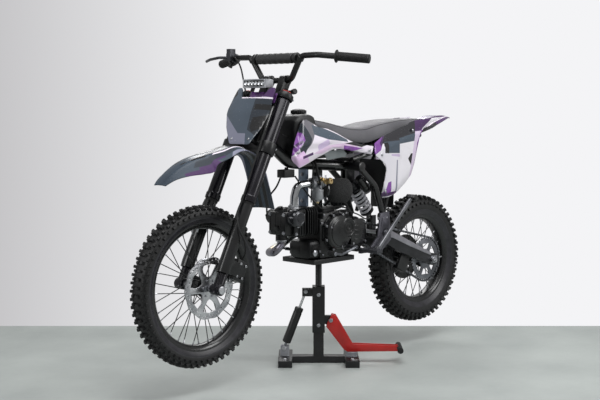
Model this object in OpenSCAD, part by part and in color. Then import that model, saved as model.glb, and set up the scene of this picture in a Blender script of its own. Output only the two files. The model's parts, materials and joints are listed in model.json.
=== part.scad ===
// Off-road motorcycle of the small 17/14 inch class, held up by a pedal lift stand.
// X points to the front of the motorcycle, Y to its left, Z up; the lift stands on Z = 0.

/* [Overall] */
// Distance between the wheel axles
wheelbase = 1210; // [1180:5:1460]
// Height of the tyres above the floor while the lift holds the motorcycle
wheel_lift = 90; // [60:5:120]
// Backward lean of the steering axis from the vertical, in degrees
rake = 26.5; // [24:0.5:28]
// Gap between pieces that rest on each other
seat_gap = 0.3; // [0.1:0.1:0.5]
// Radial clearance of a turning shaft in its hole
shaft_gap = 0.05; // [0.02:0.01:0.1]

/* [Front wheel] */
// Outer diameter of the front tyre
front_tyre_d = 572; // [540:2:600]
// Width of the front tyre
front_tyre_w = 76; // [64:1:92]
// Outer diameter of the front rim flange
front_rim_d = 456; // [420:2:470]
// Width of the front rim
front_rim_w = 45; // [36:1:56]
// Diameter of the front brake disc
front_disc_d = 220; // [180:2:240]
// Width of the front hub
front_hub_w = 100; // [90:1:110]
// Number of spokes in each wheel
spoke_count = 36; // [24:4:36]

/* [Rear wheel] */
// Outer diameter of the rear tyre
rear_tyre_d = 537; // [500:2:560]
// Width of the rear tyre
rear_tyre_w = 96; // [80:1:104]
// Outer diameter of the rear rim flange
rear_rim_d = 380; // [350:2:400]
// Width of the rear rim
rear_rim_w = 58; // [46:1:64]
// Diameter of the rear brake disc
rear_disc_d = 190; // [160:2:200]
// Width of the rear hub
rear_hub_w = 116; // [110:1:124]
// Diameter of the rear sprocket inside the chain
sprocket_d = 172; // [140:2:190]

/* [Steering] */
// Distance between the two fork legs
fork_spread = 190; // [180:1:210]
// Diameter of the upper fork tubes
fork_tube_d = 50; // [44:1:54]
// Diameter of the sliding fork tubes
slider_d = 37; // [32:1:40]
// Distance of the steering axis behind the fork legs
fork_offset = 30; // [24:1:40]
// Diameter of the steering stem
stem_d = 28; // [24:1:32]
// Diameter of the front axle
front_axle_d = 15; // [12:1:18]
// Height of the upper clamp above the front axle, along the fork
top_clamp_at = 728; // [700:2:760]
// Height of the lower clamp above the front axle, along the fork
low_clamp_at = 512; // [490:2:530]

/* [Handlebar] */
// Overall width of the handlebar
bar_w = 770; // [700:5:840]
// Diameter of the handlebar tube
bar_d = 22; // [20:1:25]
// Diameter of the bore in each end of the handlebar
bar_bore_d = 18; // [14:1:19]
// Depth of the bore in each end of the handlebar
bar_bore_depth = 60; // [40:5:80]
// Diameter of the grips
grip_d = 33; // [30:1:36]
// Length of the grips
grip_len = 122; // [110:1:130]
// Diameter of the handlebar pad
pad_d = 40; // [34:1:48]

/* [Chassis] */
// Diameter of the frame's backbone tube
spine_d = 44; // [36:1:50]
// Diameter of the rear frame tubes
rail_d = 20; // [16:1:24]
// Thickness of the plastic panels
panel_t = 4; // [3:0.5:5]
// Distance between the outer faces of the swing arm
arm_spread = 192; // [184:1:196]
// Width of each swing arm beam
arm_w = 22; // [18:1:24]
// Diameter of the rear axle
rear_axle_d = 16; // [14:1:20]
// Diameter of the swing arm's pivot bolt
pivot_d = 16; // [12:1:18]
// Diameter of the exhaust header pipe
header_d = 30; // [24:1:34]
// Diameter of the muffler
muffler_d = 68; // [60:1:72]
// Diameter of the muffler's outlet
outlet_d = 28; // [22:1:32]
// Length of the folding side stand from its pivot to its foot
stand_len = 282; // [250:2:300]

/* [Lift] */
// Length of the lift's two feet
foot_len = 210; // [200:5:260]
// Width of each foot
foot_w = 54; // [40:1:64]
// Height of each foot
foot_h = 27; // [20:1:40]
// Distance between the outer sides of the feet
base_w = 314; // [280:2:360]
// Width of the lift's square mast
mast_w = 40; // [36:1:44]
// Wall of the sleeve that slides on the mast
sleeve_wall = 4; // [3:0.5:6]
// Diameter of the lift's post
post_d = 25; // [20:1:30]
// Length of the lift's platform
platform_len = 230; // [200:5:240]
// Width of the lift's platform
platform_w = 168; // [150:2:180]
// Thickness of the lift's platform
platform_t = 18; // [12:1:24]

/* [Hidden] */
$fn = 48;

front_tyre_r = front_tyre_d / 2;
rear_tyre_r = rear_tyre_d / 2;
front_x = (wheelbase + rear_tyre_r - front_tyre_r) / 2;
rear_x = front_x - wheelbase;
front_z = wheel_lift + front_tyre_r;
rear_z = wheel_lift + rear_tyre_r;
rise = wheel_lift - 90;
fork_y = fork_spread / 2;
rim_wall = 5;
spoke_r = 1.6;
hub_r = 22;
flange_r = 36;
disc_t = 4;
front_hub_end = front_hub_w / 2;
rear_hub_end = rear_hub_w / 2;

// Unit vector along v
function unit(v) = v / norm(v);

// Straight round bar from a to b
module bar(a, b, r) {
    d = b - a;
    translate(a) rotate([0, acos(d[2] / norm(d)), atan2(d[1], d[0])]) cylinder(h = norm(d), r = r);
}

// Round bar along Y
module cross_bar(x, z, y_from, y_to, r) {
    translate([x, y_to, z]) rotate([90, 0, 0]) cylinder(h = y_to - y_from, r = r);
}

// Points along a route, rounded at its corners and set out evenly enough to bend a thin tube
function route(points, steps) = [for (i = [0 : len(points) - 2]) for (k = [0 : steps - 1])
    let (p0 = points[max(0, i - 1)], p1 = points[i], p2 = points[i + 1], p3 = points[min(len(points) - 1, i + 2)], t = k / steps)
    0.5 * (2 * p1 + (p2 - p0) * t + (2 * p0 - 5 * p1 + 4 * p2 - p3) * t * t + (3 * p1 - p0 - 3 * p2 + p3) * t * t * t)];
// Tube along the points, with one ring of sides at each
module cord(points, r, sides) {
    last = len(points) - 1;
    ways = [for (i = [0 : last]) unit(points[min(last, i + 1)] - points[max(0, i - 1)])];
    rings = [for (i = [0 : last]) let (side = unit(cross(ways[i], [0.05, 1, 0.03])), top = cross(ways[i], side))
        [for (k = [0 : sides - 1]) points[i] + r * (side * cos(k * 360 / sides) + top * sin(k * 360 / sides))]];
    polyhedron(points = [for (ring = rings) each ring],
        faces = concat([[for (k = [0 : sides - 1]) k]], [[for (k = [sides - 1 : -1 : 0]) last * sides + k]],
            [for (i = [0 : last - 1]) for (k = [0 : sides - 1]) let (m = (k + 1) % sides)
                each [[i * sides + k, (i + 1) * sides + k, (i + 1) * sides + m],
                    [i * sides + k, (i + 1) * sides + m, i * sides + m]]]));
}

// Points of a route whose corners are rounded with one bend radius
function bends(points, bend, steps) = let (last = len(points) - 1) concat([points[0]],
    [for (i = [1 : last - 1]) let (
            along = unit(points[i] - points[i - 1]), away = unit(points[i + 1] - points[i]),
            turn = acos(min(1, along * away)), trim = bend * tan(turn / 2),
            inward = unit(away - along * (along * away)), centre = points[i] - along * trim + inward * bend)
        for (k = [0 : steps]) let (a = turn * k / steps) centre + (along * sin(a) - inward * cos(a)) * bend],
    [points[last]]);

// Bent bar with many flat sides
module swept_bar(points, r, bend, sides = 14, steps = 3) { cord(bends(points, bend, steps), r, sides); }

// Closed solid between two grids of points: rows run backwards, columns to the left, outer is above
module skin(outer, inner) {
    rows = len(outer);
    cols = len(outer[0]);
    function id(side, i, j) = (side * rows + i) * cols + j;
    function quad(a, b, c, d) = [[a, c, b], [a, d, c]];
    polyhedron(
        points = concat([for (row = outer) each row], [for (row = inner) each row]),
        faces = concat(
            [for (i = [0 : rows - 2]) for (j = [0 : cols - 2])
                each quad(id(0, i, j), id(0, i, j + 1), id(0, i + 1, j + 1), id(0, i + 1, j))],
            [for (i = [0 : rows - 2]) for (j = [0 : cols - 2])
                each quad(id(1, i, j), id(1, i + 1, j), id(1, i + 1, j + 1), id(1, i, j + 1))],
            [for (i = [0 : rows - 2])
                each quad(id(0, i, 0), id(0, i + 1, 0), id(1, i + 1, 0), id(1, i, 0))],
            [for (i = [0 : rows - 2])
                each quad(id(0, i, cols - 1), id(1, i, cols - 1), id(1, i + 1, cols - 1), id(0, i + 1, cols - 1))],
            [for (j = [0 : cols - 2])
                each quad(id(0, 0, j), id(1, 0, j), id(1, 0, j + 1), id(0, 0, j + 1))],
            [for (j = [0 : cols - 2])
                each quad(id(0, rows - 1, j), id(0, rows - 1, j + 1), id(1, rows - 1, j + 1), id(1, rows - 1, j))]
        ));
}

// Arched sheet through stations of [x, z, half width, sag at the edge]
module arched_sheet(stations, thickness, steps) {
    last = len(stations) - 1;
    normals = [for (i = [0 : last])
        let (a = stations[max(0, i - 1)], b = stations[min(last, i + 1)])
        unit([b[1] - a[1], 0, a[0] - b[0]])];
    function row(i, depth) = [for (j = [-steps : steps])
        let (s = stations[i], t = j / steps)
        [s[0], s[2] * t, s[1]] - normals[i] * (s[3] * t * t + depth)];
    skin([for (i = [0 : last]) row(i, 0)], [for (i = [0 : last]) row(i, thickness)]);
}

// Frame of the fork: origin on the front axle, Z up along the legs, X square to them and forward
module fork_space() { translate([front_x, 0, front_z]) rotate([0, -rake, 0]) children(); }

// Everything that keeps its height above the wheels
module raised() { translate([0, 0, rise]) children(); }

module at_front_axle() { translate([front_x, 0, front_z]) children(); }
module at_rear_axle() { translate([rear_x, 0, rear_z]) children(); }

// ---- wheels ----

module tyre(outer_r, width, rim_r, rim_w) {
    round_r = width / 2;
    rotate([90, 0, 0]) rotate_extrude($fn = 96) difference() {
        intersection() {
            translate([outer_r - round_r, 0]) circle(r = round_r);
            translate([rim_r - 10, -width]) square([outer_r, 2 * width]);
        }
        translate([0, -rim_w / 2 - seat_gap]) square([rim_r + seat_gap, rim_w + 2 * seat_gap]);
    }
}

module rim(rim_r, rim_w, well) {
    rotate([90, 0, 0]) rotate_extrude($fn = 96) difference() {
        translate([rim_r - well, -rim_w / 2]) square([well, rim_w]);
        translate([rim_r - well + rim_wall, -rim_w / 2 + rim_wall]) square([well, rim_w - 2 * rim_wall]);
    }
}

module hub(width, bore_r, bed_r, dish) {
    difference() {
        union() {
            cross_bar(0, 0, -width / 2, width / 2, hub_r);
            for (side = [-1, 1]) translate([0, side * dish, 0]) rotate([90, 0, 0])
                cylinder(h = 6, r = flange_r, center = true);
            spokes(bed_r, dish);
        }
        cross_bar(0, 0, -width, width, bore_r);
    }
}

module spokes(bed_r, dish) {
    turn = 360 / spoke_count;
    lean = 32;
    for (i = [0 : spoke_count - 1]) {
        side = i % 2 == 0 ? 1 : -1;
        way = floor(i / 2) % 2 == 0 ? 1 : -1;
        start = [cos(i * turn - way * lean) * (flange_r - 5), side * (dish + way * 1.7), sin(i * turn - way * lean) * (flange_r - 5)];
        end = [cos(i * turn) * (bed_r - 0.5), side * 5, sin(i * turn) * (bed_r - 0.5)];
        bar(start, end, spoke_r);
    }
}

front_well = 24;
rear_well = 24;
front_bed_r = front_rim_d / 2 - front_well;
rear_bed_r = rear_rim_d / 2 - rear_well;
front_dish = 28;
rear_dish = 30;

module front_tyre() { color("#141416") at_front_axle() tyre(front_tyre_r, front_tyre_w, front_rim_d / 2, front_rim_w); }
module front_rim() { color("#1c1c1f") at_front_axle() rim(front_rim_d / 2, front_rim_w, front_well); }
module front_hub() {
    color("#202124") at_front_axle() hub(front_hub_w, front_axle_d / 2 + shaft_gap, front_bed_r, front_dish);
}
module rear_tyre() { color("#141416") at_rear_axle() tyre(rear_tyre_r, rear_tyre_w, rear_rim_d / 2, rear_rim_w); }
module rear_rim() { color("#1c1c1f") at_rear_axle() rim(rear_rim_d / 2, rear_rim_w, rear_well); }
module rear_hub() {
    color("#202124") at_rear_axle() difference() {
        union() {
            hub(rear_hub_w - 2 * disc_t, rear_axle_d / 2 + shaft_gap, rear_bed_r, rear_dish);
            translate([0, -rear_hub_end + disc_t, 0]) brake_disc(rear_disc_d / 2);
        }
        cross_bar(0, 0, -rear_hub_w, rear_hub_w, rear_axle_d / 2 + shaft_gap);
    }
}
module brake_disc(outer_r) {
    rotate([90, 0, 0]) difference() {
        cylinder(h = disc_t, r = outer_r, $fn = 96);
        translate([0, 0, -1]) for (a = [0 : 60 : 300]) rotate(a) translate([outer_r * 0.45, 0]) cylinder(h = disc_t + 2, r = outer_r * 0.14);
    }
}
module front_disc() {
    color("#b9bcc2") at_front_axle() translate([0, front_hub_end + disc_t, 0]) difference() {
        brake_disc(front_disc_d / 2);
        rotate([90, 0, 0]) translate([0, 0, -1]) cylinder(h = disc_t + 2, r = front_axle_d / 2 + 1);
    }
}
module rear_sprocket() {
    color("#8f9196") at_rear_axle() translate([0, rear_hub_end, 0]) rotate([90, 0, 0]) difference() {
        cylinder(h = disc_t, r = sprocket_d / 2, $fn = 96);
        translate([0, 0, -1]) cylinder(h = disc_t + 2, r = rear_axle_d / 2 + 1);
        for (a = [0 : 60 : 300]) rotate(a) translate([sprocket_d * 0.3, 0, -1]) cylinder(h = disc_t + 2, r = sprocket_d * 0.1);
    }
}

// ---- fork and steering ----

tube_r = fork_tube_d / 2;
tube_low = 326;
tube_top = top_clamp_at + 26;
ear_r = tube_r + 5;
clamp_front = 12;
clamp_back = 18;
low_clamp_h = 44;
top_clamp_h = 20;
slider_top = tube_low + 44;
axle_r = front_axle_d / 2;
leg_lug_r = 20;
leg_lug_in = fork_y - slider_d / 2 - 1.5;
leg_lug_out = fork_y + slider_d / 2 + 0.5;

module clamp_body(at, h, hub_radius) {
    for (side = [-1, 1]) translate([0, side * fork_y, at]) cylinder(h = h, r = ear_r);
    translate([-fork_offset - clamp_back, -fork_y, at]) cube([fork_offset + clamp_back + clamp_front, fork_spread, h]);
    translate([-fork_offset, 0, at]) cylinder(h = h, r = hub_radius);
}
module triple_clamps() {
    color("#1d1e20") fork_space() {
        difference() {
            union() {
                clamp_body(low_clamp_at, low_clamp_h, 30);
                clamp_body(top_clamp_at, top_clamp_h, 28);
            }
            for (side = [-1, 1]) translate([0, side * fork_y, 0]) cylinder(h = tube_top, r = tube_r + 0.1);
        }
        translate([-fork_offset, 0, low_clamp_at]) cylinder(h = top_clamp_at - low_clamp_at, r = stem_d / 2);
    }
}
module fork_tubes() {
    color("#2a2a2f") fork_space() for (side = [-1, 1]) translate([0, side * fork_y, 0]) {
        difference() {
            translate([0, 0, tube_low]) cylinder(h = tube_top - tube_low, r = tube_r);
            translate([0, 0, tube_low - 1]) cylinder(h = slider_top - tube_low + 4, r = slider_d / 2 + shaft_gap);
        }
        translate([0, 0, tube_top]) cylinder(h = 6, r = tube_r - 5);
    }
}
module fork_sliders() {
    color("#6e7076") fork_space() for (side = [-1, 1]) difference() {
        union() {
            translate([0, side * fork_y, -leg_lug_r + 4]) cylinder(h = slider_top + leg_lug_r - 4, r = slider_d / 2);
            cross_bar(0, 0, side > 0 ? leg_lug_in : -leg_lug_out, side > 0 ? leg_lug_out : -leg_lug_in, leg_lug_r);
        }
        cross_bar(0, 0, -fork_spread, fork_spread, axle_r + seat_gap);
    }
}
guard_low = 60;
guard_top = 316;
guard_t = 3;
module fork_guards() {
    color("#17181b") fork_space() for (side = [-1, 1]) translate([0, side * fork_y, guard_low]) {
        difference() {
            cylinder(h = guard_top - guard_low, r = slider_d / 2 + seat_gap + guard_t + 4);
            translate([0, 0, -1]) cylinder(h = guard_top, r = slider_d / 2 + seat_gap);
            translate([-60, -60, -1]) cube([56, 120, guard_top]);
        }
    }
}
module front_axle() {
    color("#a7a9ae") fork_space() {
        cross_bar(0, 0, -leg_lug_out - 8, leg_lug_out + 8, axle_r);
        for (side = [-1, 1]) {
            from = side > 0 ? leg_lug_out + seat_gap : -leg_lug_out - 8;
            cross_bar(0, 0, from, from + 8 - seat_gap, 14);
            in_from = side > 0 ? front_hub_end + disc_t + 1 : -leg_lug_in + seat_gap;
            in_to = side > 0 ? leg_lug_in - seat_gap : -front_hub_end - 1;
            cross_bar(0, 0, in_from, in_to, 12);
        }
    }
}
module front_brake_caliper() {
    color("#2b2c30") fork_space() difference() {
        union() {
            translate([-112, front_hub_end - 14, 62]) cube([52, 46, 74]);
            translate([-66, fork_y - 14, 70]) cube([66 - slider_d / 2 - seat_gap, 12, 50]);
        }
        translate([0, front_hub_end + 2 * disc_t, 0]) rotate([90, 0, 0]) cylinder(h = 3 * disc_t, r = front_disc_d / 2 + 5, $fn = 96);
    }
}

bar_x = front_x - 384;
bar_z = front_z + 722;
bar_rise = 88;
bar_seat = [bar_x, 0, bar_z];
bar_rise_low = [bar_x, 72, bar_z];
bar_rise_top = [bar_x + 6, 130, bar_z + bar_rise];
bar_sweep = [bar_x + 2, 205, bar_z + bar_rise + 1];
bar_end = [bar_x - 76, bar_w / 2, bar_z + bar_rise - 17];
bar_r = bar_d / 2;
bar_way = unit(bar_end - bar_sweep);
grip_clear = 0.15;
bar_mid_r = bar_r - 0.6;
bar_straight = norm(bar_end - bar_sweep) - 14;
cross_brace_r = 6.5;
cross_brace_x = bar_x + 5;
cross_brace_z = bar_z + bar_rise - 8;
cross_brace_end = 122;
function mirrored(p) = [p[0], -p[1], p[2]];
// Point on the straight end of the handlebar, a distance in from its tip
function on_bar(in) = bar_end - bar_way * in;

module on_side(side) { if (side > 0) children(); else mirror([0, 1, 0]) children(); }

module handlebar() {
    color("#1f2023") difference() {
        union() {
            swept_bar([mirrored(on_bar(bar_straight)), mirrored(bar_sweep), mirrored(bar_rise_top), mirrored(bar_rise_low),
                bar_rise_low, bar_rise_top, bar_sweep, on_bar(bar_straight)], bar_mid_r, 34, 20);
            for (side = [-1, 1]) on_side(side) bar(on_bar(bar_straight), bar_end, bar_r);
            cross_bar(cross_brace_x, cross_brace_z, -cross_brace_end, cross_brace_end, cross_brace_r);
        }
        for (side = [-1, 1]) on_side(side) bar(on_bar(bar_bore_depth), on_bar(-5), bar_bore_d / 2);
    }
}
pad_end = 92;
module bar_pad() {
    color("#26262a") difference() {
        cross_bar(cross_brace_x, cross_brace_z, -pad_end, pad_end, pad_d / 2);
        cross_bar(cross_brace_x, cross_brace_z, -pad_end - 1, pad_end + 1, cross_brace_r + seat_gap);
    }
}
module grips() {
    color("#1a1a1c") for (side = [-1, 1]) on_side(side) difference() {
        union() {
            bar(on_bar(grip_len), on_bar(1), grip_d / 2);
            bar(on_bar(grip_len + 5), on_bar(grip_len), grip_d / 2 + 7);
        }
        bar(on_bar(grip_len + 10), on_bar(-2), bar_r + grip_clear);
    }
}
module throttle_housing() {
    color("#1b1c1e") mirror([0, 1, 0]) difference() {
        union() {
            bar(on_bar(grip_len + 28), on_bar(grip_len + 6), 21);
            bar(on_bar(grip_len + 17), on_bar(grip_len + 17) + [14, 6, -30], 8);
        }
        bar(on_bar(grip_len + 60), on_bar(grip_len), bar_r + grip_clear);
    }
}
perch = on_bar(grip_len + 41);
module brake_lever() {
    color("#8d9096") mirror([0, 1, 0]) difference() {
        union() {
            bar(on_bar(grip_len + 52), on_bar(grip_len + 31), 17);
            translate(perch + [8, -12, -8]) cube([32, 22, 28]);
            translate(perch + [12, -12, 19]) cube([26, 22, 18]);
            swept_bar([perch + [32, 4, 4], perch + [58, 30, 4], perch + [42, 100, -1], perch + [16, 150, -6]], 5.5, 12);
        }
        bar(on_bar(grip_len + 80), on_bar(grip_len), bar_r + grip_clear);
    }
}
riser_y = 42;
riser_w = 30;
module bar_clamps() {
    lean = [cos(rake), 0, sin(rake)];
    up = [-sin(rake), 0, cos(rake)];
    centre = bar_seat - [front_x, 0, front_z];
    cx = centre * lean;
    cz = centre * up;
    color("#232427") fork_space() for (side = [-1, 1]) difference() {
        union() {
            translate([cx - 17, side * riser_y - riser_w / 2, top_clamp_at + top_clamp_h + seat_gap])
                cube([34, riser_w, cz - top_clamp_at - top_clamp_h - seat_gap]);
            cross_bar(cx, cz, side * riser_y - riser_w / 2, side * riser_y + riser_w / 2, 19);
        }
        cross_bar(cx, cz, -100, 100, bar_mid_r + grip_clear);
    }
}

plate_x = 46;
plate_t = 4;
plate_low = 530;
plate_top = 742;
module number_plate() {
    color("#4d5566") fork_space() {
        translate([plate_x, 0, 0]) rotate([90, 0, 90]) linear_extrude(plate_t) polygon([
            [-58, plate_low], [58, plate_low], [88, plate_low + 75], [92, plate_low + 130], [84, plate_top],
            [34, plate_top], [22, plate_top - 26], [-22, plate_top - 26], [-34, plate_top],
            [-84, plate_top], [-92, plate_low + 130], [-88, plate_low + 75]]);
        for (side = [-1, 1]) {
            translate([clamp_front + seat_gap, side * 56 - 8, top_clamp_at]) cube([plate_x - clamp_front - seat_gap, 16, 12]);
            translate([clamp_front + seat_gap, side * 50 - 8, low_clamp_at + 26]) cube([plate_x - clamp_front - seat_gap, 16, 12]);
        }
    }
}
light_low = front_z + 694;
light_x = front_x - 313;
module light_bar() {
    color("#b8bbc1") {
        translate([light_x, -58, light_low]) cube([48, 116, 32]);
        fork_space() for (side = [-1, 1]) translate([plate_x - 12 - seat_gap, side * 40 - 5, plate_top - 20]) cube([12, 10, 54]);
    }
}
module front_fender() {
    color("#47505f") fork_space() arched_sheet([
        [318, 250, 34, 2], [304, 294, 50, 10], [274, 346, 64, 22], [238, 386, 72, 32], [192, 422, 74, 36],
        [140, 460, 68, 30], [90, 498, 60, 18], [40, low_clamp_at - seat_gap, 56, 6], [-24, low_clamp_at - seat_gap, 54, 4],
        [-74, 478, 54, 6], [-125, 428, 56, 8], [-175, 373, 58, 8]], 3.5, 5);
}
hose_r = 3;
hose_points = [[31, -222.8, 894], [34, -202, 886], [37, -150, 842], [37, -90, 760], [33, -40, 690], [30, 30, 645], [33, 84, 600], [38, 98, 540],
    [36, 98, 440], [34, 100, 340], [38, 106, 270], [30, 128, 220], [-10, 134, 186], [-52, 112, 156], [-84, 70, 139]];
module brake_hose() { color("#111113") fork_space() cord(route(hose_points, 5), hose_r, 8); }

// ---- frame ----

head_low = low_clamp_at + low_clamp_h + 4;
head_top = top_clamp_at - 4;
head_r = stem_d / 2 + 11;
spine_r = spine_d / 2;
rail_r = rail_d / 2;
plate_y = arm_spread / 2 + 2;
plate_thick = 6;
pivot = [-290, 500];
pivot_r = pivot_d / 2;
// Point on the steering axis, a distance along it
function on_steering(at) = [front_x - fork_offset * cos(rake) - at * sin(rake), 0,
    front_z - fork_offset * sin(rake) + at * cos(rake) - rise];
spine_front = on_steering((head_low + head_top) / 2 - 38);
spine_low = [-150, 0, 770];
spine_bend = [150, 0, 792];
under_cross = [-228, 431];
down_y = plate_y - 14;
rail_y = 62;
strut_r = rail_r - 2;

module head_tube() {
    fork_space() translate([-fork_offset, 0, head_low]) cylinder(h = head_top - head_low, r = head_r);
}
module main_frame() {
    color("#1b1c1f") difference() {
        union() {
            head_tube();
            raised() {
                swept_bar([spine_front, spine_bend, spine_low], spine_r, 90, 20);
                cross_bar(spine_low[0], spine_low[2], -plate_y - plate_thick, plate_y + plate_thick, spine_r - 4);
                for (side = [-1, 1]) on_side(side) {
                    swept_bar([[spine_low[0], down_y, spine_low[2]], [-250, down_y, 690], [-300, down_y, 566]], 12, 60);
                    translate([0, plate_y, 0]) mirror([0, 1, 0]) rotate([90, 0, 0]) linear_extrude(plate_thick)
                        polygon([[-328, 470], [-262, 424], [-206, 422], [-206, 452], [-246, 486], [-262, 580], [-316, 584]]);
                    bar([-288, plate_y - 22, 566], [-288, plate_y + plate_thick, 566], 14);
                }
                cross_bar(under_cross[0], under_cross[1], -plate_y - plate_thick, plate_y + plate_thick, 9);
                cross_bar(stand_pivot[0], stand_pivot[1], plate_y, stand_y + 15, stand_pin_r);
                translate([under_cross[0], -30, under_cross[1] - 6]) cube([case_rear - seat_gap - under_cross[0], 60, 34]);
                translate([48, -36, fin_top + seat_gap]) cube([14, 40, 150]);
                translate([-30, -36, case_top + 21 + seat_gap]) cube([14, 40, 150]);
                for (side = [-1, 1]) translate([shock_top[0] - 14, side * (shock_eye + seat_gap + 4) - 4, shock_top[2] - 12]) cube([46, 8, 58]);
            }
        }
        fork_space() translate([-fork_offset, 0, head_low - 1])
            cylinder(h = head_top - head_low + 2, r = stem_d / 2 + shaft_gap);
        raised() cross_bar(pivot[0], pivot[1], -200, 200, pivot_r + shaft_gap);
    }
}
module rear_subframe() {
    color("#1b1c1f") raised() for (side = [-1, 1]) on_side(side) {
        swept_bar([[-136, rail_y, 796], [-300, rail_y, 830], [-560, rail_y, 884]], rail_r, 80);
        swept_bar([[-318, rail_y + 10, 574], [-372, rail_y + 6, 720], [-460, rail_y, 862]], strut_r, 120);
    }
    color("#1b1c1f") raised() {
        cross_bar(-470, 866, -rail_y, rail_y, strut_r);
        translate([-470, 0, 866]) cylinder(h = tail_top(-470) - tail_t - 866 - 2, r = strut_r);
        for (side = [-1, 1]) translate([-270, side * rail_y, 812]) cylinder(h = seat_bottom(-262) - seat_gap - 812, r = strut_r);
        cross_bar(-176, 794, -rail_y, rail_y, strut_r);
    }
}
arm_out = arm_spread / 2;
arm_in = arm_out - arm_w;
cross_box = [-338, 434];
module swing_arm() {
    color("#2c2d31") difference() {
        union() {
            for (side = [-1, 1]) on_side(side) translate([0, arm_out, 0]) rotate([90, 0, 0]) linear_extrude(arm_w) polygon([
                [pivot[0] + 22, pivot[1] + rise + 6], [pivot[0] + 4, pivot[1] + rise + 24], [pivot[0] - 40, pivot[1] + rise + 8],
                [rear_x + 10, rear_z + 30], [rear_x - 40, rear_z + 22], [rear_x - 46, rear_z - 12],
                [rear_x - 4, rear_z - 24], [pivot[0] - 96, pivot[1] + rise - 84], [pivot[0] + 4, pivot[1] + rise - 34],
                [pivot[0] + 22, pivot[1] + rise - 14]]);
            translate([cross_box[0], -arm_in, cross_box[1] + rise]) cube([38, 2 * arm_in, 44]);
            raised() for (side = [-1, 1]) translate([shock_low[0] - 12, side * (shock_eye + seat_gap + 4) - 4, 470]) cube([24, 8, 92]);
        }
        raised() cross_bar(pivot[0], pivot[1], -200, 200, pivot_r + shaft_gap);
        at_rear_axle() cross_bar(0, 0, -200, 200, rear_axle_d / 2 + shaft_gap);
    }
}
module pivot_bolt() {
    color("#9a9ca1") raised() {
        nut = plate_y + plate_thick + seat_gap;
        cross_bar(pivot[0], pivot[1], -nut - 8, nut + 8, pivot_r);
        for (from = [-nut - 8, nut]) cross_bar(pivot[0], pivot[1], from, from + 8, pivot_r + 5);
    }
}
module rear_axle() {
    color("#9a9ca1") at_rear_axle() {
        nut = arm_out + seat_gap;
        cross_bar(0, 0, -nut - 10, nut + 10, rear_axle_d / 2);
        for (from = [-nut - 10, nut]) cross_bar(0, 0, from, from + 10, rear_axle_d / 2 + 5);
        gap_from = rear_hub_end + 1;
        cross_bar(0, 0, gap_from, arm_in - seat_gap, rear_axle_d / 2 + 3);
        cross_bar(0, 0, -arm_in + seat_gap, -gap_from, rear_axle_d / 2 + 3);
    }
}

// ---- rear suspension and drive ----

shock_top = [-190, 0, 716];
shock_low = [-326, 0, 546];
shock_eye = 8;
shock_way = unit(shock_low - shock_top);
spring_top = 86;
spring_low = 46;
module rear_shock() {
    color("#3a3b40") raised() {
        bar(shock_top, shock_low, 7);
        bar(shock_top + shock_way * 42, shock_top + shock_way * spring_top, 22);
        bar(shock_top + shock_way * (spring_top - 6), shock_top + shock_way * spring_top, 28);
        bar(shock_low - shock_way * spring_low, shock_low - shock_way * (spring_low - 8), 28);
        cross_bar(shock_top[0], shock_top[2], -shock_eye, shock_eye, 13);
        cross_bar(shock_low[0], shock_low[2], -shock_eye, shock_eye, 12);
        bar(shock_top + shock_way * 56, shock_top + [-36, 50, -30], 9);
        bar(shock_top + [0, 50, 8], shock_top + [-50, 50, -44], 16);
    }
}
module shock_spring() {
    color("#d9dade") raised() difference() {
        bar(shock_top + shock_way * (spring_top + seat_gap), shock_low - shock_way * (spring_low + seat_gap), 28);
        bar(shock_top + shock_way * spring_top, shock_low - shock_way * spring_low, 21);
    }
}
chain_y = rear_hub_end - disc_t / 2;
chain_w = 11;
chain_t = 12;
drive_r = 28;
drive_at = [-168, 520];
module chain_outline(extra) {
    hull() {
        translate([rear_x, rear_z]) circle(r = sprocket_d / 2 + 1 + extra, $fn = 64);
        translate([drive_at[0], drive_at[1] + rise]) circle(r = drive_r + extra, $fn = 32);
    }
}
module drive_chain() {
    color("#54565b") translate([0, chain_y + chain_w / 2, 0]) rotate([90, 0, 0]) linear_extrude(chain_w)
        difference() { chain_outline(chain_t); chain_outline(0); }
}
chain_run = [drive_at[0] - rear_x, drive_at[1] + rise - rear_z];
chain_slope = atan2(chain_run[1], chain_run[0]) + asin((sprocket_d / 2 + 1 - drive_r) / norm(chain_run));
chain_low = sprocket_d / 2 + 1 + chain_t;
module chain_guide() {
    color("#1a1a1c") at_rear_axle() rotate([0, -chain_slope, 0]) {
        translate([118, arm_in - 26, -chain_low - 0.5 - 8]) cube([60, 26 - seat_gap, 8]);
        translate([118, arm_in - 9, -chain_low - 8]) cube([60, 9 - seat_gap, 84]);
    }
}

// ---- engine ----

engine_low = 422.3;
case_top = 598;
case_out = 62;
case_narrow = 46;
case_back = drive_at[0] + drive_r + chain_t + 3;
case_rear = -206;
sump_front = 96;
module crankcase() {
    color("#1e1f21") raised() {
        translate([case_back, -case_out, engine_low]) cube([44 - case_back, 2 * case_out, case_top - engine_low - 20]);
        translate([-110, -case_out, engine_low]) cube([140, 2 * case_out, case_top - engine_low]);
        translate([case_rear, -case_out, engine_low + 18]) cube([case_back - case_rear, case_out + case_narrow, 128]);
        translate([-70, -34, case_top - 1]) cube([70, 68, 22]);
        translate([43, -case_out + 4, engine_low]) cube([sump_front - 43, 2 * case_out - 8, 74]);
    }
}
cover_out = 92;
module engine_covers() {
    color("#232427") raised() {
        cross_bar(-40, 522, case_out + seat_gap, cover_out, 72);
        cross_bar(-40, 522, cover_out, cover_out + 6, 52);
        cross_bar(-52, 518, -cover_out, -case_out - seat_gap, 74);
        cross_bar(-52, 518, -cover_out - 6, -cover_out, 50);
        translate([case_rear, chain_y + chain_w / 2 + 2, 460]) cube([case_back + 10 - case_rear, 16, 104]);
        translate([case_back, case_out + seat_gap, 460]) cube([10, chain_y + chain_w / 2 + 18 - case_out - seat_gap, 104]);
    }
}
barrel = [44.3, 112];
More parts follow.
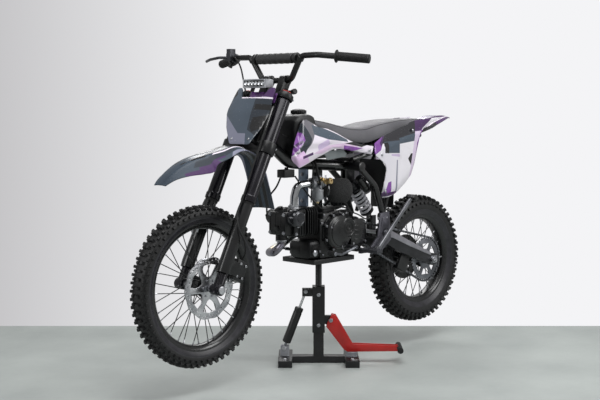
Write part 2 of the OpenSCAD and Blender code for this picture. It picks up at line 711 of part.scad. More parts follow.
head_end = 215;
head_cover = [174, 588];
intake_x = 145;
outlet_x = 190;
bore_z = 568;
fin_top = bore_z + 54;
module cylinder_barrel() {
    color("#1f2023") raised() {
        translate([barrel[0], 0, bore_z]) rotate([0, 90, 0]) cylinder(h = barrel[1] - barrel[0] - seat_gap, r = 42);
        for (i = [0 : 4]) translate([barrel[0] + 8 + i * 12, -56, bore_z - 54]) cube([3, 112, 108]);
    }
}
module cylinder_head() {
    color("#232427") raised() {
        translate([barrel[1], -54, bore_z - 50]) cube([head_end - barrel[1] - 40, 108, 100]);
        for (i = [0 : 2]) translate([barrel[1] + 8 + i * 14, -58, bore_z - 54]) cube([3, 116, 108]);
        translate([head_end - 42, -44, bore_z - 44]) cube([42, 88, 88]);
        cross_bar(head_cover[0], head_cover[1], 43, 84, 32);
        cross_bar(head_cover[0], head_cover[1], -78, -43, 28);
        cross_bar(head_end - 24, bore_z + 42, -22, 22, 16);
        translate([intake_x, 20, bore_z + 49]) cylinder(h = 10, r = 22);
        translate([outlet_x, 0, bore_z - 62]) cylinder(h = 20, r = 22);
    }
}
port_top = bore_z + 59 + seat_gap;
carb_y = 30;
module intake_pipe() {
    color("#a9abb0") raised() {
        swept_bar([[intake_x, 20, port_top + 2], [intake_x - 2, 21, port_top + 38], [132, 24, 706],
            [84, carb_y, 712], [56 + seat_gap, carb_y, 712]], 15, 24);
        translate([intake_x, 20, port_top]) cylinder(h = 6, r = 21);
        bar([56 + seat_gap, carb_y, 712], [63, carb_y, 712], 21);
    }
}
module carburetor() {
    color("#b5b7bb") raised() {
        bar([-2, carb_y, 712], [56, carb_y, 712], 20);
        translate([26, carb_y, 676]) cylinder(h = 76, r = 18);
        translate([26, carb_y, 640]) cylinder(h = 46, r = 23);
        bar([26, carb_y + 16, 726], [26, carb_y + 34, 726], 6);
    }
}
module air_filter() {
    color("#1b1b1d") raised() difference() {
        hull() {
            translate([-18, 46, 700]) sphere(r = 30, $fn = 32);
            translate([-100, 52, 690]) sphere(r = 32, $fn = 32);
            translate([-96, 52, 662]) sphere(r = 34, $fn = 32);
            translate([-30, 48, 664]) sphere(r = 30, $fn = 32);
        }
        translate([-2 - seat_gap, 0, 600]) cube([60, 100, 150]);
    }
}
header_r = header_d / 2;
muffler_r = muffler_d / 2;
muffler_y = -150;
muffler_from = [-236, muffler_y, 600];
muffler_to = [-470, muffler_y, 668];
muffler_way = unit(muffler_to - muffler_from);
module exhaust_header() {
    color("#c3c5ca") raised() {
        translate([outlet_x, 0, bore_z - 68 - seat_gap]) cylinder(h = 6, r = 22);
        translate([outlet_x, 0, bore_z - 88]) cylinder(h = 22, r = header_r + 0.5);
        swept_bar([[outlet_x + 2, 0, bore_z - 82], [224, -2, 460], [186, -72, 450], [60, -122, 470], [-60, -132, 520],
            muffler_from - muffler_way * 40, muffler_from - muffler_way * seat_gap], header_r, 34);
    }
}
module muffler() {
    color("#2b2c30") raised() {
        difference() {
            union() {
                bar(muffler_from, muffler_from + muffler_way * 40, muffler_r - 14);
                bar(muffler_from + muffler_way * 24, muffler_to, muffler_r);
                bar(muffler_to, muffler_to + muffler_way * 26, outlet_d / 2 + 2.5);
            }
            bar(muffler_to - muffler_way * 20, muffler_to + muffler_way * 30, outlet_d / 2);
        }
        bar([-330, muffler_y + muffler_r - 6, 627], [-330, -rail_y - 22, 627], 7);
    }
}
module gear_lever() {
    color("#6f7177") raised() {
        cross_bar(-106, 460, case_out + seat_gap, 118, 7);
        swept_bar([[-106, 112, 460], [-20, 116, 440], [52, 118, 452]], 5, 20);
        cross_bar(52, 452, 112, 150, 8);
    }
}
module kick_starter() {
    color("#6f7177") raised() {
        cross_bar(-176, 500, -118, -case_out - seat_gap, 9);
        swept_bar([[-176, -112, 500], [-196, -118, 590], [-170, -124, 660]], 7, 30);
        cross_bar(-170, 660, -178, -118, 8);
    }
}
module foot_pegs() {
    color("#3c3e43") raised() for (side = [-1, 1]) on_side(side) {
        translate([-205.7, plate_y - 8, 430]) cube([60, 14, 20]);
        translate([-180, plate_y + 2, 436]) cube([34, 84, 12]);
    }
}
module brake_pedal() {
    color("#6f7177") raised() {
        cross_bar(-120, 452, -128, -plate_y, 7);
        swept_bar([[-120, -122, 452], [-40, -126, 432], [40, -128, 446]], 6, 20);
        translate([28, -150, 446]) cube([40, 30, 6]);
        translate([-145.3, -plate_y - 6, 430]) cube([34, 14, 30]);
    }
}

// ---- tank, seat and plastics ----

tank_y = 68;
module fuel_tank() {
    color("#26292f") raised() difference() {
        translate([0, tank_y, 0]) rotate([90, 0, 0]) linear_extrude(2 * tank_y) polygon([
            [170, 822], [188, 900], [184, 950], [170, 984], [150, 998], [110, 998], [84, 984], [70, 900], [56, 880], [-40, 840], [-40, 806], [120, 806]]);
        swept_bar([spine_front, spine_bend, spine_low], spine_r + 2 * seat_gap, 90, 20);
    }
}
module fuel_cap() { color("#1a1a1c") raised() translate([130, 0, 998 + seat_gap]) cylinder(h = 20, r = 30); }
seat_stations = [
    [60, 954, 56, 930, 912], [0, 946, 78, 906, 892], [-60, 934, 90, 882, 872], [-120, 926, 94, 868, 864], [-195, 925, 95, 866, 862],
    [-255, 935, 95, 884, 876], [-316, 943, 94, 901, 888], [-411, 950, 90, 924, 912], [-541, 952, 84, 938, 929], [-606, 949, 74, 942, 938]];
// Height of the seat's underside
function seat_bottom(x) = lookup(x, [for (s = seat_stations) [s[0], s[4]]]);
module seat() {
    steps = 4;
    color("#2b2b2f") raised() skin(
        [for (s = seat_stations) [for (j = [-steps : steps]) let (t = j / steps) [s[0], s[2] * t, s[1] - (s[1] - s[3]) * pow(abs(t), 3)]]],
        [for (s = seat_stations) [for (j = [-steps : steps]) let (t = j / steps) [s[0], s[2] * t, s[4]]]]);
}
shroud_front = [273, 134];
shroud_turn = 3.2;
module panel(at, turn, thick) {
    translate([at[0], at[1], 0]) rotate([0, 0, turn]) translate([-at[0], 0, 0]) rotate([90, 0, 0]) linear_extrude(thick) children();
}
module tank_shrouds() {
    color("#565f70") raised() for (side = [-1, 1]) on_side(side) {
        panel(shroud_front, shroud_turn, panel_t) polygon([
            [207, 955], [234, 919], [260, 855], [273, 812], [229, 781], [166, 801], [85, 827], [30, 844], [-10, 843], [-84, 833],
            [-200, 815], [-214, 848], [-129, 858], [-71, 871], [14, 904], [69, 920], [123, 926], [177, 951]]);
        bar([150, tank_y + seat_gap, 900], [150, shroud_front[1] - 12, 900], 9);
    }
}
side_front = [-222, 106];
side_turn = 2;
module side_panels() {
    color("#565f70") raised() for (side = [-1, 1]) on_side(side) {
        panel(side_front, side_turn, panel_t) polygon([
            [-222, 813], [-287, 779], [-300, 751], [-262, 650], [-276, 640], [-312, 642], [-372, 662], [-460, 724], [-500, 824], [-520, 881],
            [-545, 913], [-671, 957], [-560, 952], [-481, 945], [-385, 922], [-291, 895], [-222, 860]]);
        bar([-400, rail_y + rail_r + 0.3, 851], [-400, side_front[1] - 8, 851], 8);
    }
}
tail_stations = [
    [-360, 888, 50, 14], [-450, 912, 76, 38], [-540, 926, 80, 34], [-612, 936, 82, 26],
    [-650, 950, 80, 26], [-710, 960, 72, 18], [-770, 962, 56, 8], [-818, 955, 30, 3]];
tail_t = 3.5;
// Height of the tail's top along its middle
function tail_top(x) = lookup(x, [for (s = tail_stations) [s[0], s[1]]]);
module rear_fender() {
    color("#c9c6dc") raised() arched_sheet(tail_stations, tail_t, 5);
}
inner_y = rail_y + 6 - strut_r - seat_gap;
module inner_fender() {
    color("#1a1b1d") raised() translate([0, inner_y, 0]) rotate([90, 0, 0]) linear_extrude(2 * inner_y) polygon([
        [-318, 790], [-380, 720], [-398, 650], [-396, 590], [-392, 590], [-393, 650], [-375, 717], [-314, 786]]);
}
module ignition_coil() {
    color("#17181a") raised() {
        translate([138, -20, 738]) cube([56, 40, 30]);
        translate([160, -9, 767]) cube([6, 18, 9.2]);
    }
}
module rear_brake_caliper() {
    color("#2b2c30") at_rear_axle() difference() {
        rotate([0, -50, 0]) translate([52, -arm_in + seat_gap, -32]) cube([56, 26, 64]);
        translate([0, -rear_hub_end + 2 * disc_t, 0]) rotate([90, 0, 0]) cylinder(h = 3 * disc_t, r = rear_disc_d / 2 + 5, $fn = 96);
    }
}

// ---- side stand ----

stand_pivot = [-222, 441];
stand_y = plate_y + plate_thick + 14;
stand_pin_r = 6;
stand_lean = 135;
module side_stand() {
    color("#2a2b2e") raised() translate([stand_pivot[0], 0, stand_pivot[1]]) rotate([0, -stand_lean, 0]) {
        difference() {
            union() {
                cross_bar(0, 0, stand_y, stand_y + 12, 14);
                swept_bar([[4, stand_y + 6, 0], [60, stand_y + 8, 0], [stand_len - 10, stand_y + 18, 0]], 8, 30);
            }
            cross_bar(0, 0, 0, 300, stand_pin_r + shaft_gap);
        }
        translate([stand_len - 16, stand_y - 2, -12]) cube([16, 44, 24]);
    }
}

// ---- lift ----

lift_at = [-33, -18];
lift_turn = 44.1;
mast_top = 250;
sleeve_low = 121;
sleeve_top = 303;
platform_top = engine_low - seat_gap;
post_low = 150;
foot_y = base_w / 2 - foot_w;
eye_w = 12;
lug_t = 8;
lever_low = 44;
lever_in = 10;
lever_end = 318;
lever_t = 6;
post_r = post_d / 2;
module lift_space() { translate([lift_at[0], lift_at[1], 0]) rotate([0, 0, lift_turn]) children(); }
module lift_base() {
    color("#161719") lift_space() difference() {
        union() {
            for (side = [-1, 1]) on_side(side) translate([-foot_len / 2, foot_y, 0]) cube([foot_len, foot_w, foot_h]);
            translate([-mast_w / 2, -foot_y, 0]) cube([mast_w, 2 * foot_y, foot_h]);
            translate([-mast_w / 2, -mast_w / 2, 0]) cube([mast_w, mast_w, mast_top]);
            for (side = [-1, 1]) translate([side * (eye_w / 2 + seat_gap + lug_t / 2) - lug_t / 2, -base_w / 2 + 8, foot_h])
                cube([lug_t, 34, 40]);
            translate([-22, foot_y + 6, foot_h]) cube([44, 42, lever_low - foot_h - seat_gap]);
        }
        translate([-mast_w / 2 + 3, -mast_w / 2 + 3, foot_h]) cube([mast_w - 6, mast_w - 6, mast_top]);
    }
}
module lift_sleeve() {
    half = mast_w / 2 + seat_gap + sleeve_wall;
    color("#161719") {
        lift_space() {
            difference() {
                translate([-half, -half, sleeve_low]) cube([2 * half, 2 * half, sleeve_top - sleeve_low + rise]);
                translate([-half + sleeve_wall, -half + sleeve_wall, sleeve_low - 1])
                    cube([mast_w + 2 * seat_gap, mast_w + 2 * seat_gap, sleeve_top - sleeve_low + rise - 5]);
            }
            translate([0, 0, sleeve_top + rise - 5]) cylinder(h = platform_top - platform_t - sleeve_top + 5, r = post_r);
            for (side = [-1, 1]) translate([side * (eye_w / 2 + seat_gap + lug_t / 2) - lug_t / 2, -half - 40, sleeve_top + rise - 40])
                cube([lug_t, 41, 30]);
            translate([-lever_in + seat_gap, half - 1, 152]) cube([2 * lever_in - 2 * seat_gap, 26, 34]);
        }
        translate([lift_at[0] - platform_len / 2, lift_at[1] - platform_w / 2, platform_top + rise - platform_t])
            cube([platform_len, platform_w, platform_t]);
    }
}
lever_y = mast_w / 2 + sleeve_wall + 14;
module lift_lever() {
    color("#c01a18") lift_space() {
        for (x = [-lever_in - lever_t, lever_in]) translate([x, 0, 0]) rotate([90, 0, 90]) linear_extrude(lever_t) polygon([
            [lever_y - 4, 158], [lever_y + 14, 192], [lever_y + 30, 188], [134, 74], [lever_end, 67],
            [lever_end, lever_low + 2], [114, lever_low], [98, 54], [lever_y - 8, 144]]);
        translate([-lever_in, 122, lever_low + 2]) cube([2 * lever_in, lever_end - 130, 5]);
    }
    color("#1a1a1c") lift_space() translate([0, lever_end, 56]) rotate([0, 90, 0]) cylinder(h = 110, r = 12, center = true);
}
module lift_damper() {
    half = mast_w / 2 + sleeve_wall;
    low = [0, -base_w / 2 + 22, 56];
    high = [0, -half - 26, sleeve_top + rise - 22];
    way = unit(high - low);
    color("#17181a") lift_space() {
        cross_x(low, -eye_w / 2, eye_w / 2, 11);
        bar(low, low + way * 24, 5);
        bar(low + way * 24, low + way * 172, 17);
        bar(low + way * 160, high, 5);
        cross_x(high, -eye_w / 2, eye_w / 2, 11);
    }
}
module cross_x(at, from, to, r) { translate([at[0] + from, at[1], at[2]]) rotate([0, 90, 0]) cylinder(h = to - from, r = r); }

main_frame();
rear_subframe();
swing_arm();
pivot_bolt();
rear_axle();
rear_shock();
shock_spring();
drive_chain();
chain_guide();
crankcase();
engine_covers();
cylinder_barrel();
cylinder_head();
intake_pipe();
carburetor();
air_filter();
exhaust_header();
muffler();
gear_lever();
kick_starter();
foot_pegs();
brake_pedal();
fuel_tank();
fuel_cap();
seat();
tank_shrouds();
side_panels();
rear_fender();
inner_fender();
ignition_coil();
rear_brake_caliper();
lift_base();
lift_sleeve();
lift_lever();
lift_damper();
triple_clamps();
fork_tubes();
fork_sliders();
fork_guards();
bar_clamps();
handlebar();
bar_pad();
grips();
throttle_housing();
brake_lever();
number_plate();
light_bar();
front_fender();
front_brake_caliper();
front_axle();
brake_hose();
front_tyre();
front_rim();
front_hub();
front_disc();
rear_tyre();
rear_rim();
rear_hub();
rear_sprocket();
side_stand();
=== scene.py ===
import json
import math

import bmesh
import bpy
from mathutils import Matrix, Vector


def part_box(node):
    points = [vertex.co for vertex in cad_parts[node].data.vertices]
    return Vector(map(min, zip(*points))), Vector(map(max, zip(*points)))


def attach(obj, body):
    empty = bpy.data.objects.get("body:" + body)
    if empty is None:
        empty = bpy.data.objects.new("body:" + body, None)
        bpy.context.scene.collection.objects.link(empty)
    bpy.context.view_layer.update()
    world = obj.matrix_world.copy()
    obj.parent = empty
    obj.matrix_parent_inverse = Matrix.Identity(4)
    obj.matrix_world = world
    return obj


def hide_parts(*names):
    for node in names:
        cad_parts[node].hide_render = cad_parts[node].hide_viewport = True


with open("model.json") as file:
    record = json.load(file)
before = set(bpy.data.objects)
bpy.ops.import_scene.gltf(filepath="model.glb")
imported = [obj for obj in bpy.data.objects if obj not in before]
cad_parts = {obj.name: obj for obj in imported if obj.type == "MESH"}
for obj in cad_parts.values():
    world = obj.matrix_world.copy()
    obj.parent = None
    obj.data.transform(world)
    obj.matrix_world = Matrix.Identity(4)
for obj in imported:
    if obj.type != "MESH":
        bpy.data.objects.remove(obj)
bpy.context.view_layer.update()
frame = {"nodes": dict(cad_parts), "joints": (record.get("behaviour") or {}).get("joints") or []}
scene = bpy.context.scene
scene.view_settings.view_transform = "Standard"
print("frame loaded")


def point(x, y, z):
    return Vector((x, y, z)) * 0.001  # millimetres to metres


def shift(x, y, z):
    return Matrix.Translation(point(x, y, z))


def middle(node):
    low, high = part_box(node)
    return (low + high) / 2


frontAxle = middle("front_rim")
rearAxle = middle("rear_rim")
turnAxis = next(j["axis"] for j in frame["joints"] if j["name"] == "steering_turn")
rake = math.asin(-turnAxis[0])
forkSpace = Matrix.Translation(frontAxle) @ Matrix.Rotation(-rake, 4, "Y")
liftSpace = shift(-33, -18, 0) @ Matrix.Rotation(math.radians(44.1), 4, "Z")
sides = (1, -1)

# camera
cameraPlace = {"at": (3.133, 2.952, 1.015), "azimuth": 134.13, "down": 4.94, "lens": 67.2}
aim = math.radians(cameraPlace["azimuth"])
down = math.radians(cameraPlace["down"])
forward = Vector((-math.sin(aim) * math.cos(down), math.cos(aim) * math.cos(down), -math.sin(down)))
cameraData = bpy.data.cameras.new("camera")
cameraData.lens = cameraPlace["lens"]
camera = bpy.data.objects.new("camera", cameraData)
camera.location = cameraPlace["at"]
camera.rotation_euler = forward.to_track_quat("-Z", "Y").to_euler()
scene.collection.objects.link(camera)
scene.camera = camera


class Wire:
    # one socket of a shader tree; sums on it add Math nodes
    def __init__(self, tree, socket=None):
        self.tree = tree
        self.socket = socket

    def node(self, kind, settings=None, sockets=None, out=0):
        made = self.tree.nodes.new("ShaderNode" + kind)
        for key, value in (settings or {}).items():
            if key == "stops":
                stops = made.color_ramp.elements
                while len(stops) < len(value):
                    stops.new(1)
                for stop, (at, colour) in zip(stops, value):
                    stop.position = at
                    stop.color = colour
            else:
                setattr(made, key, value)
        for key, value in (sockets or {}).items():
            if isinstance(value, Wire):
                self.tree.links.new(value.socket, made.inputs[key])
            else:
                made.inputs[key].default_value = value
        return Wire(self.tree, made.outputs[out])

    def maths(self, operation, *others):
        return self.node("Math", {"operation": operation}, dict(enumerate((self,) + others)))

    def __add__(self, other):
        return self.maths("ADD", other)

    __radd__ = __add__

    def __sub__(self, other):
        return self.maths("SUBTRACT", other)

    def __rsub__(self, other):
        return self.node("Math", {"operation": "SUBTRACT"}, {0: other, 1: self})

    def __mul__(self, other):
        return self.maths("MULTIPLY", other)

    __rmul__ = __mul__

    def mix(self, under, over):
        return self.node("Mix", {"data_type": "RGBA"}, {0: self, 6: under, 7: over}, out=2)

    def part(self, axis):
        return self.node("SeparateXYZ", None, {0: self}, out="xyz".index(axis))

    def noise(self, scale, detail=3):
        return self.node("TexNoise", None, {"Vector": self, "Scale": scale, "Detail": detail})

    def stretched(self, scale):
        return self.node("Mapping", None, {"Vector": self, "Scale": scale})

    def between(self, low, high):
        return self.node("MapRange", None, {"Value": self, "From Min": low, "From Max": high})


def paint(code):
    # linear colour of a hexadecimal one
    parts = [int(code[i:i + 2], 16) / 255 for i in (0, 2, 4)]
    return tuple(c / 12.92 if c < 0.04045 else ((c + 0.055) / 1.055) ** 2.4 for c in parts) + (1,)


def newFinish(name, place="Object"):
    material = bpy.data.materials.new(name)
    material.use_nodes = True
    tree = material.node_tree
    return material, tree.nodes["Principled BSDF"], Wire(tree).node("TexCoord", out=place)


def feed(shader, **values):
    names = {"baseColor": "Base Color", "roughness": "Roughness", "metallic": "Metallic", "coat": "Coat Weight",
             "normal": "Normal", "sheen": "Sheen Weight", "coatRoughness": "Coat Roughness",
             "specular": "Specular IOR Level"}
    for key, value in values.items():
        socket = shader.inputs[names[key]]
        if isinstance(value, Wire):
            value.tree.links.new(value.socket, socket)
        else:
            socket.default_value = value


def bumped(height, strength, distance):
    return height.node("Bump", None, {"Strength": strength, "Distance": distance, "Height": height})


def surface(name, light, dark, rough, metal, grain, bump, spread=0.12, stretch=(1, 1, 1), patches=14, coat=0.0,
            worn=None):
    # general finish: clouded colour, grain in the gloss and the relief, and optional wear in specks
    material, shader, place = newFinish(name)
    cloud = place.noise(patches, 4).between(0.35, 0.65)
    fine = place.stretched(stretch).noise(grain, 4)
    colour = cloud.mix(paint(dark), paint(light))
    gloss = fine * spread + (rough - spread / 2) + cloud * 0.06
    if worn:
        specks = place.noise(160, 6).between(0.66, 0.74)
        colour = specks.mix(colour, paint(worn))
        gloss = gloss + specks * 0.12
    feed(shader, baseColor=colour, roughness=gloss, metallic=metal, coat=coat, normal=bumped(fine, bump, 0.0006))
    return material


# name, lighter and darker colour, roughness, metal, grain, relief, and whatever else the finish has
finishRows = (
    ("frameBlack", "141517", "0b0b0c", 0.26, 0, 900, 0.05, {"coat": 0.4}),
    ("forkBlack", "1d1b22", "100f13", 0.2, 0.35, 700, 0.04, {"spread": 0.08, "stretch": (1, 1, 0.05)}),
    ("clampBlack", "17181a", "0c0d0e", 0.3, 0.2, 1400, 0.12, {}),
    ("armGrey", "27282c", "18191c", 0.34, 0.4, 1100, 0.08, {"coat": 0.15}),
    ("engineBlack", "161719", "0a0a0b", 0.36, 0.2, 1300, 0.3, {"worn": "2c2d30"}),
    ("coverBlack", "131416", "09090a", 0.26, 0.2, 1500, 0.12, {"coat": 0.4}),
    ("bolt", "c3c4c8", "8f9096", 0.3, 0.95, 900, 0.08, {}),
    ("steel", "8e9096", "5d5f64", 0.36, 0.9, 600, 0.08, {"stretch": (1, 1, 0.1), "worn": "53504c"}),
    ("disc", "c9cacd", "9c9da2", 0.27, 0.95, 240, 0.1, {"stretch": (1, 0.02, 1), "patches": 30}),
    ("castAlloy", "b9bbbf", "85878c", 0.48, 0.75, 1600, 0.25, {"worn": "6f6f72"}),
    ("chainSteel", "7f8186", "3c3d40", 0.38, 0.85, 700, 0.1, {"patches": 120}),
    ("springWhite", "e4e4ea", "c5c5cf", 0.3, 0, 700, 0.05, {"coat": 0.4}),
    ("plasticBlack", "151618", "0c0c0e", 0.42, 0, 1700, 0.22, {}),
    ("rubber", "151517", "0a0a0b", 0.72, 0, 800, 0.25, {"patches": 40}),
    ("redCap", "c8372b", "8f211a", 0.3, 0.7, 900, 0.05, {}),
    ("liftBlack", "161719", "0b0b0d", 0.36, 0, 1400, 0.16, {"worn": "28292c"}),
    ("liftGrey", "9b9da2", "77797f", 0.4, 0.7, 900, 0.1, {}),
    ("liftRed", "d8261f", "b3150f", 0.36, 0, 1300, 0.14, {"coat": 0.35, "patches": 8}),
    ("brass", "e8d3a4", "b8975c", 0.34, 0.9, 900, 0.1, {}),
    ("pivotGrey", "6d6c75", "4b4a52", 0.4, 0.5, 1200, 0.12, {}),
    ("hangerBlue", "8d9aaf", "6e7a8c", 0.42, 0.3, 1200, 0.12, {}),
    # painted highlight along the upper sides of the swing arm
    ("armTop", "a8a7ae", "8c8b92", 0.3, 0.6, 1100, 0.06, {}),
    ("camSilver", "3c3d41", "242528", 0.2, 0.7, 1400, 0.08, {"coat": 0.5}),
    ("pegSteel", "4c4d52", "35363a", 0.4, 0.6, 1100, 0.15, {}),
    ("standMetal", "86868c", "646569", 0.3, 0.6, 1100, 0.1, {}),
    ("muffler", "222327", "131417", 0.38, 0.5, 1200, 0.12, {}),
    ("leverGrey", "3a3b40", "232428", 0.34, 0.5, 1100, 0.1, {}),
    # painted sheen: a lighter ring on the tyre's sidewall next to the rim
    ("tyreWall", "2d2c32", "1d1c21", 0.34, 0, 500, 0.12, {"patches": 30}),
    ("paleGrey", "8f9698", "7a8184", 0.4, 0, 1400, 0.08, {}),
    ("chrome", "dcdde0", "b9babd", 0.12, 1, 300, 0.02, {"spread": 0.05}),
    ("seatSeam", "1d1d20", "141416", 0.6, 0, 1200, 0.3, {}),
)
finishes = {name: surface(name, light, dark, rough, metal, grain, bump, **more)
            for name, light, dark, rough, metal, grain, bump, more in finishRows}


def headerFinish():
    material, shader, place = newFinish("headerSteel")
    streak = place.stretched((1, 1, 0.2)).noise(300, 4)
    heat = place.part("x").between(0.06, 0.2) + place.noise(20, 2) * 0.3 - 0.15
    temper = heat.node("ValToRGB", {"stops": [(0, paint("a9b0ae")), (0.45, paint("a6a89f")), (0.75, paint("a5957f")),
            (1, paint("7f7d88"))]},
                     {0: heat})
    feed(shader, baseColor=temper, metallic=0.92, roughness=streak * 0.16 + 0.2, normal=bumped(streak, 0.06, 0.0004))
    return material


def tyreFinish():
    material, shader, place = newFinish("tyreRubber")
    cloud = place.noise(22, 5).between(0.35, 0.7)
    fine = place.noise(900, 3)
    dust = place.noise(60, 6).between(0.5, 0.72)
    colour = (dust * 0.2).mix(cloud.mix(paint("0b0b0c"), paint("151517")), paint("2e2d2c"))
    feed(shader, baseColor=colour, roughness=fine * 0.15 + 0.48 + dust * 0.1, normal=bumped(fine, 0.25, 0.0005))
    return material


def vinylFinish(name, light, dark, cell):
    # grained vinyl: small cells with creases between them
    material, shader, place = newFinish(name)
    cells = place.node("TexVoronoi", {"feature": "DISTANCE_TO_EDGE"}, {"Vector": place, "Scale": cell})
    cloud = place.noise(9, 4).between(0.3, 0.7)
    crease = cells.between(0.0, 0.12)
    feed(shader, baseColor=cloud.mix(paint(dark), paint(light)), roughness=0.62 - crease * 0.14, sheen=0.15,
         normal=bumped(crease, 0.25, 0.0005))
    return material


def foamFinish():
    material, shader, place = newFinish("filterFoam")
    pores = place.node("TexVoronoi", None, {"Vector": place, "Scale": 420})
    pit = pores.between(0.1, 0.55)
    feed(shader, baseColor=pit.mix(paint("242427"), paint("0c0c0d")), roughness=0.92, sheen=0.1,
         normal=bumped(1 - pit, 0.7, 0.002))
    return material


def gripFinish():
    material, shader, place = newFinish("gripRubber")
    weave = [place.stretched(turn).node("TexWave", None, {"Vector": place.stretched(turn), "Scale": 110})
             for turn in ((1, 1, 0.4), (1, -1, 0.4))]
    ribs = weave[0] * weave[1]
    feed(shader, baseColor=ribs.mix(paint("0c0c0d"), paint("19191b")), roughness=0.75 - ribs * 0.1,
         normal=bumped(ribs, 0.6, 0.0012))
    return material


finishes["header"] = headerFinish()
finishes["tyre"] = tyreFinish()
finishes["seatVinyl"] = vinylFinish("seatVinyl", "5c5b60", "48474c", 520)
finishes["padVinyl"] = vinylFinish("padVinyl", "19191c", "0f0f11", 600)
finishes["foam"] = foamFinish()
finishes["grip"] = gripFinish()


def inside(across, up, corners, soft=0.0008):
    # mask of a convex outline, its corners in millimetres and in either order
    centre = [sum(c[i] for c in corners) / len(corners) for i in (0, 1)]
    mask = None
    for (ax, az), (bx, bz) in zip(corners, corners[1:] + corners[:1]):
        length = math.hypot(bx - ax, bz - az)
        nx, nz = (az - bz) / length, (bx - ax) / length
        if (centre[0] - ax) * nx + (centre[1] - az) * nz < 0:
            nx, nz = -nx, -nz
        edge = (across * nx + up * nz - (ax * nx + az * nz) * 0.001).between(-soft, soft)
        mask = edge if mask is None else mask.maths("MINIMUM", edge)
    return mask


shades = {"slate": "46525f", "slateDark": "262e38", "white": "efe6f2", "lilac": "cdbbdc", "purple": "83499f",
          "plum": "47285a",
          "black": "0f0f12", "grey": "6d6b72", "charcoal": "2b2a30", "smoke": "85879a"}


def graphics(name, base, layers, axes="xz", mapping=None, fold=False, coat=0.5, specular=0.5, dull=0.0):
    # glossy bodywork with convex patches of colour, laid one over another
    material, shader, place = newFinish(name)
    spot = place if mapping is None else place.node("Mapping", {"vector_type": "POINT"}, {"Vector": place, **mapping})
    across = spot.part(axes[0])
    if axes[1] == "t":  # the share of the width that a sheet carries with it
        up = place.node("Attribute", {"attribute_name": "across"}, None, "Fac")
    else:
        up = spot.part(axes[1])
    if fold:  # the same on both sides of the middle
        up = up.maths("ABSOLUTE")
    grain = place.noise(1500, 2)
    cloud = place.noise(6, 3).between(0.3, 0.7)
    colour = cloud.mix(paint(base[0]), paint(base[1]))
    for shade, corners in layers:
        colour = inside(across, up, corners).mix(colour, paint(shades.get(shade, shade)))
    scuff = place.stretched((1, 1, 3)).noise(70, 6).between(0.62, 0.8)
    gloss = grain * 0.05 + 0.2 + scuff * 0.15 + up.between(0.04, 0.06) * dull
    feed(shader, baseColor=(scuff * 0.12).mix(colour, paint("bdbdc4")), roughness=gloss, coat=coat,
         coatRoughness=0.08, specular=specular, normal=bumped(grain, 0.03, 0.0003))
    return material


finishes["shroud"] = graphics("shroudGraphics", ("e6deea", "f1eaf4"), [
    ("grey", [(100, 960), (200, 960), (196, 880), (172, 850), (120, 905), (100, 925)]),
    ("slateDark", [(150, 960), (128, 880), (200, 800), (206, 812), (150, 884), (170, 955)]),
    ("purple", [(264, 950), (194, 950), (190, 880), (266, 818), (285, 850)]),
    ("e7c4ec", [(266, 818), (229, 781), (200, 789), (166, 801), (200, 842)]),
    ("plum", [(262, 850), (200, 872), (202, 880), (262, 860)]),
    ("slate", [(118, 935), (60, 925), (10, 905), (-60, 878), (-60, 868), (58, 880), (128, 900)]),
    ("slateDark", [(10, 905), (-60, 876), (-210, 850), (-210, 858), (-60, 884)]),
    ("lilac", [(120, 862), (60, 882), (50, 862), (118, 840)]),
    ("e0c6e2", [(60, 858), (-60, 866), (-120, 850), (-90, 840), (40, 850)]),
    ("e0c6e2", [(150, 830), (60, 858), (40, 848), (100, 828)]),
    ("purple", [(-32, 856), (-32, 836), (-177, 826), (-216, 832), (-216, 852), (-150, 842)]),
    # black band along the rear top edge, right under the seat: painted shade
    ("black", [(-20, 866), (-140, 846), (-216, 858), (-216, 876), (-100, 868)]),
    ("plum", [(207, 812), (150, 826), (150, 836), (207, 822)]),
])
finishes["sidePanel"] = graphics("sidePanelGraphics", ("e9e6ee", "f3f0f6"), [
    ("purple", [(-200, 800), (-262, 830), (-330, 925), (-300, 925), (-222, 880)]),
    ("plum", [(-268, 842), (-300, 880), (-340, 930), (-318, 930), (-262, 858)]),
    ("charcoal", [(-275, 855), (-295, 892), (-345, 960), (-505, 960), (-497, 890), (-450, 868), (-416, 862),
                  (-335, 857)]),
    ("plum", [(-495, 960), (-490, 888), (-530, 902), (-620, 960)]),
    ("smoke", [(-462, 884), (-520, 900), (-530, 885), (-486, 874)]),
    ("slate", [(-289, 862), (-289, 818), (-384, 815), (-384, 866)]),
    ("black", [(-289, 858), (-289, 818), (-314, 816), (-314, 860)]),
    ("slate", [(-384, 874), (-384, 852), (-486, 862), (-486, 894)]),
    ("black", [(-396, 819), (-480, 846), (-500, 800), (-461, 762), (-440, 790), (-460, 812)]),
    ("e0cfe8", [(-490, 900), (-575, 905), (-480, 690), (-446, 700)]),
    ("purple", [(-556, 906), (-520, 800), (-500, 800), (-500, 850), (-530, 906)]),
    ("lilac", [(-330, 812), (-384, 812), (-384, 800), (-330, 806)]),
    ("smoke", [(-365, 788), (-372, 788), (-372, 650), (-358, 650)]),
    ("purple", [(-279, 640), (-330, 660), (-330, 704), (-310, 700)]),
    ("plum", [(-262, 640), (-372, 650), (-372, 664), (-270, 656)]),
])


def lensFinish():
    material, shader, place = newFinish("lampLens")
    ripple = place.noise(700, 2)
    feed(shader, baseColor=ripple.mix(paint("dfe3ea"), paint("f6f8fb")), roughness=ripple * 0.1 + 0.08, coat=0.6,
         normal=bumped(ripple, 0.1, 0.0004))
    return material


finishes["lens"] = lensFinish()
print("finishes made")


def repaint(piece, finish):
    piece.data.materials.clear()
    piece.data.materials.append(finishes[finish])


def newObject(name, mesh, finish=None):
    made = bpy.data.objects.new(name, mesh)
    scene.collection.objects.link(made)
    if finish:
        repaint(made, finish)
    return made


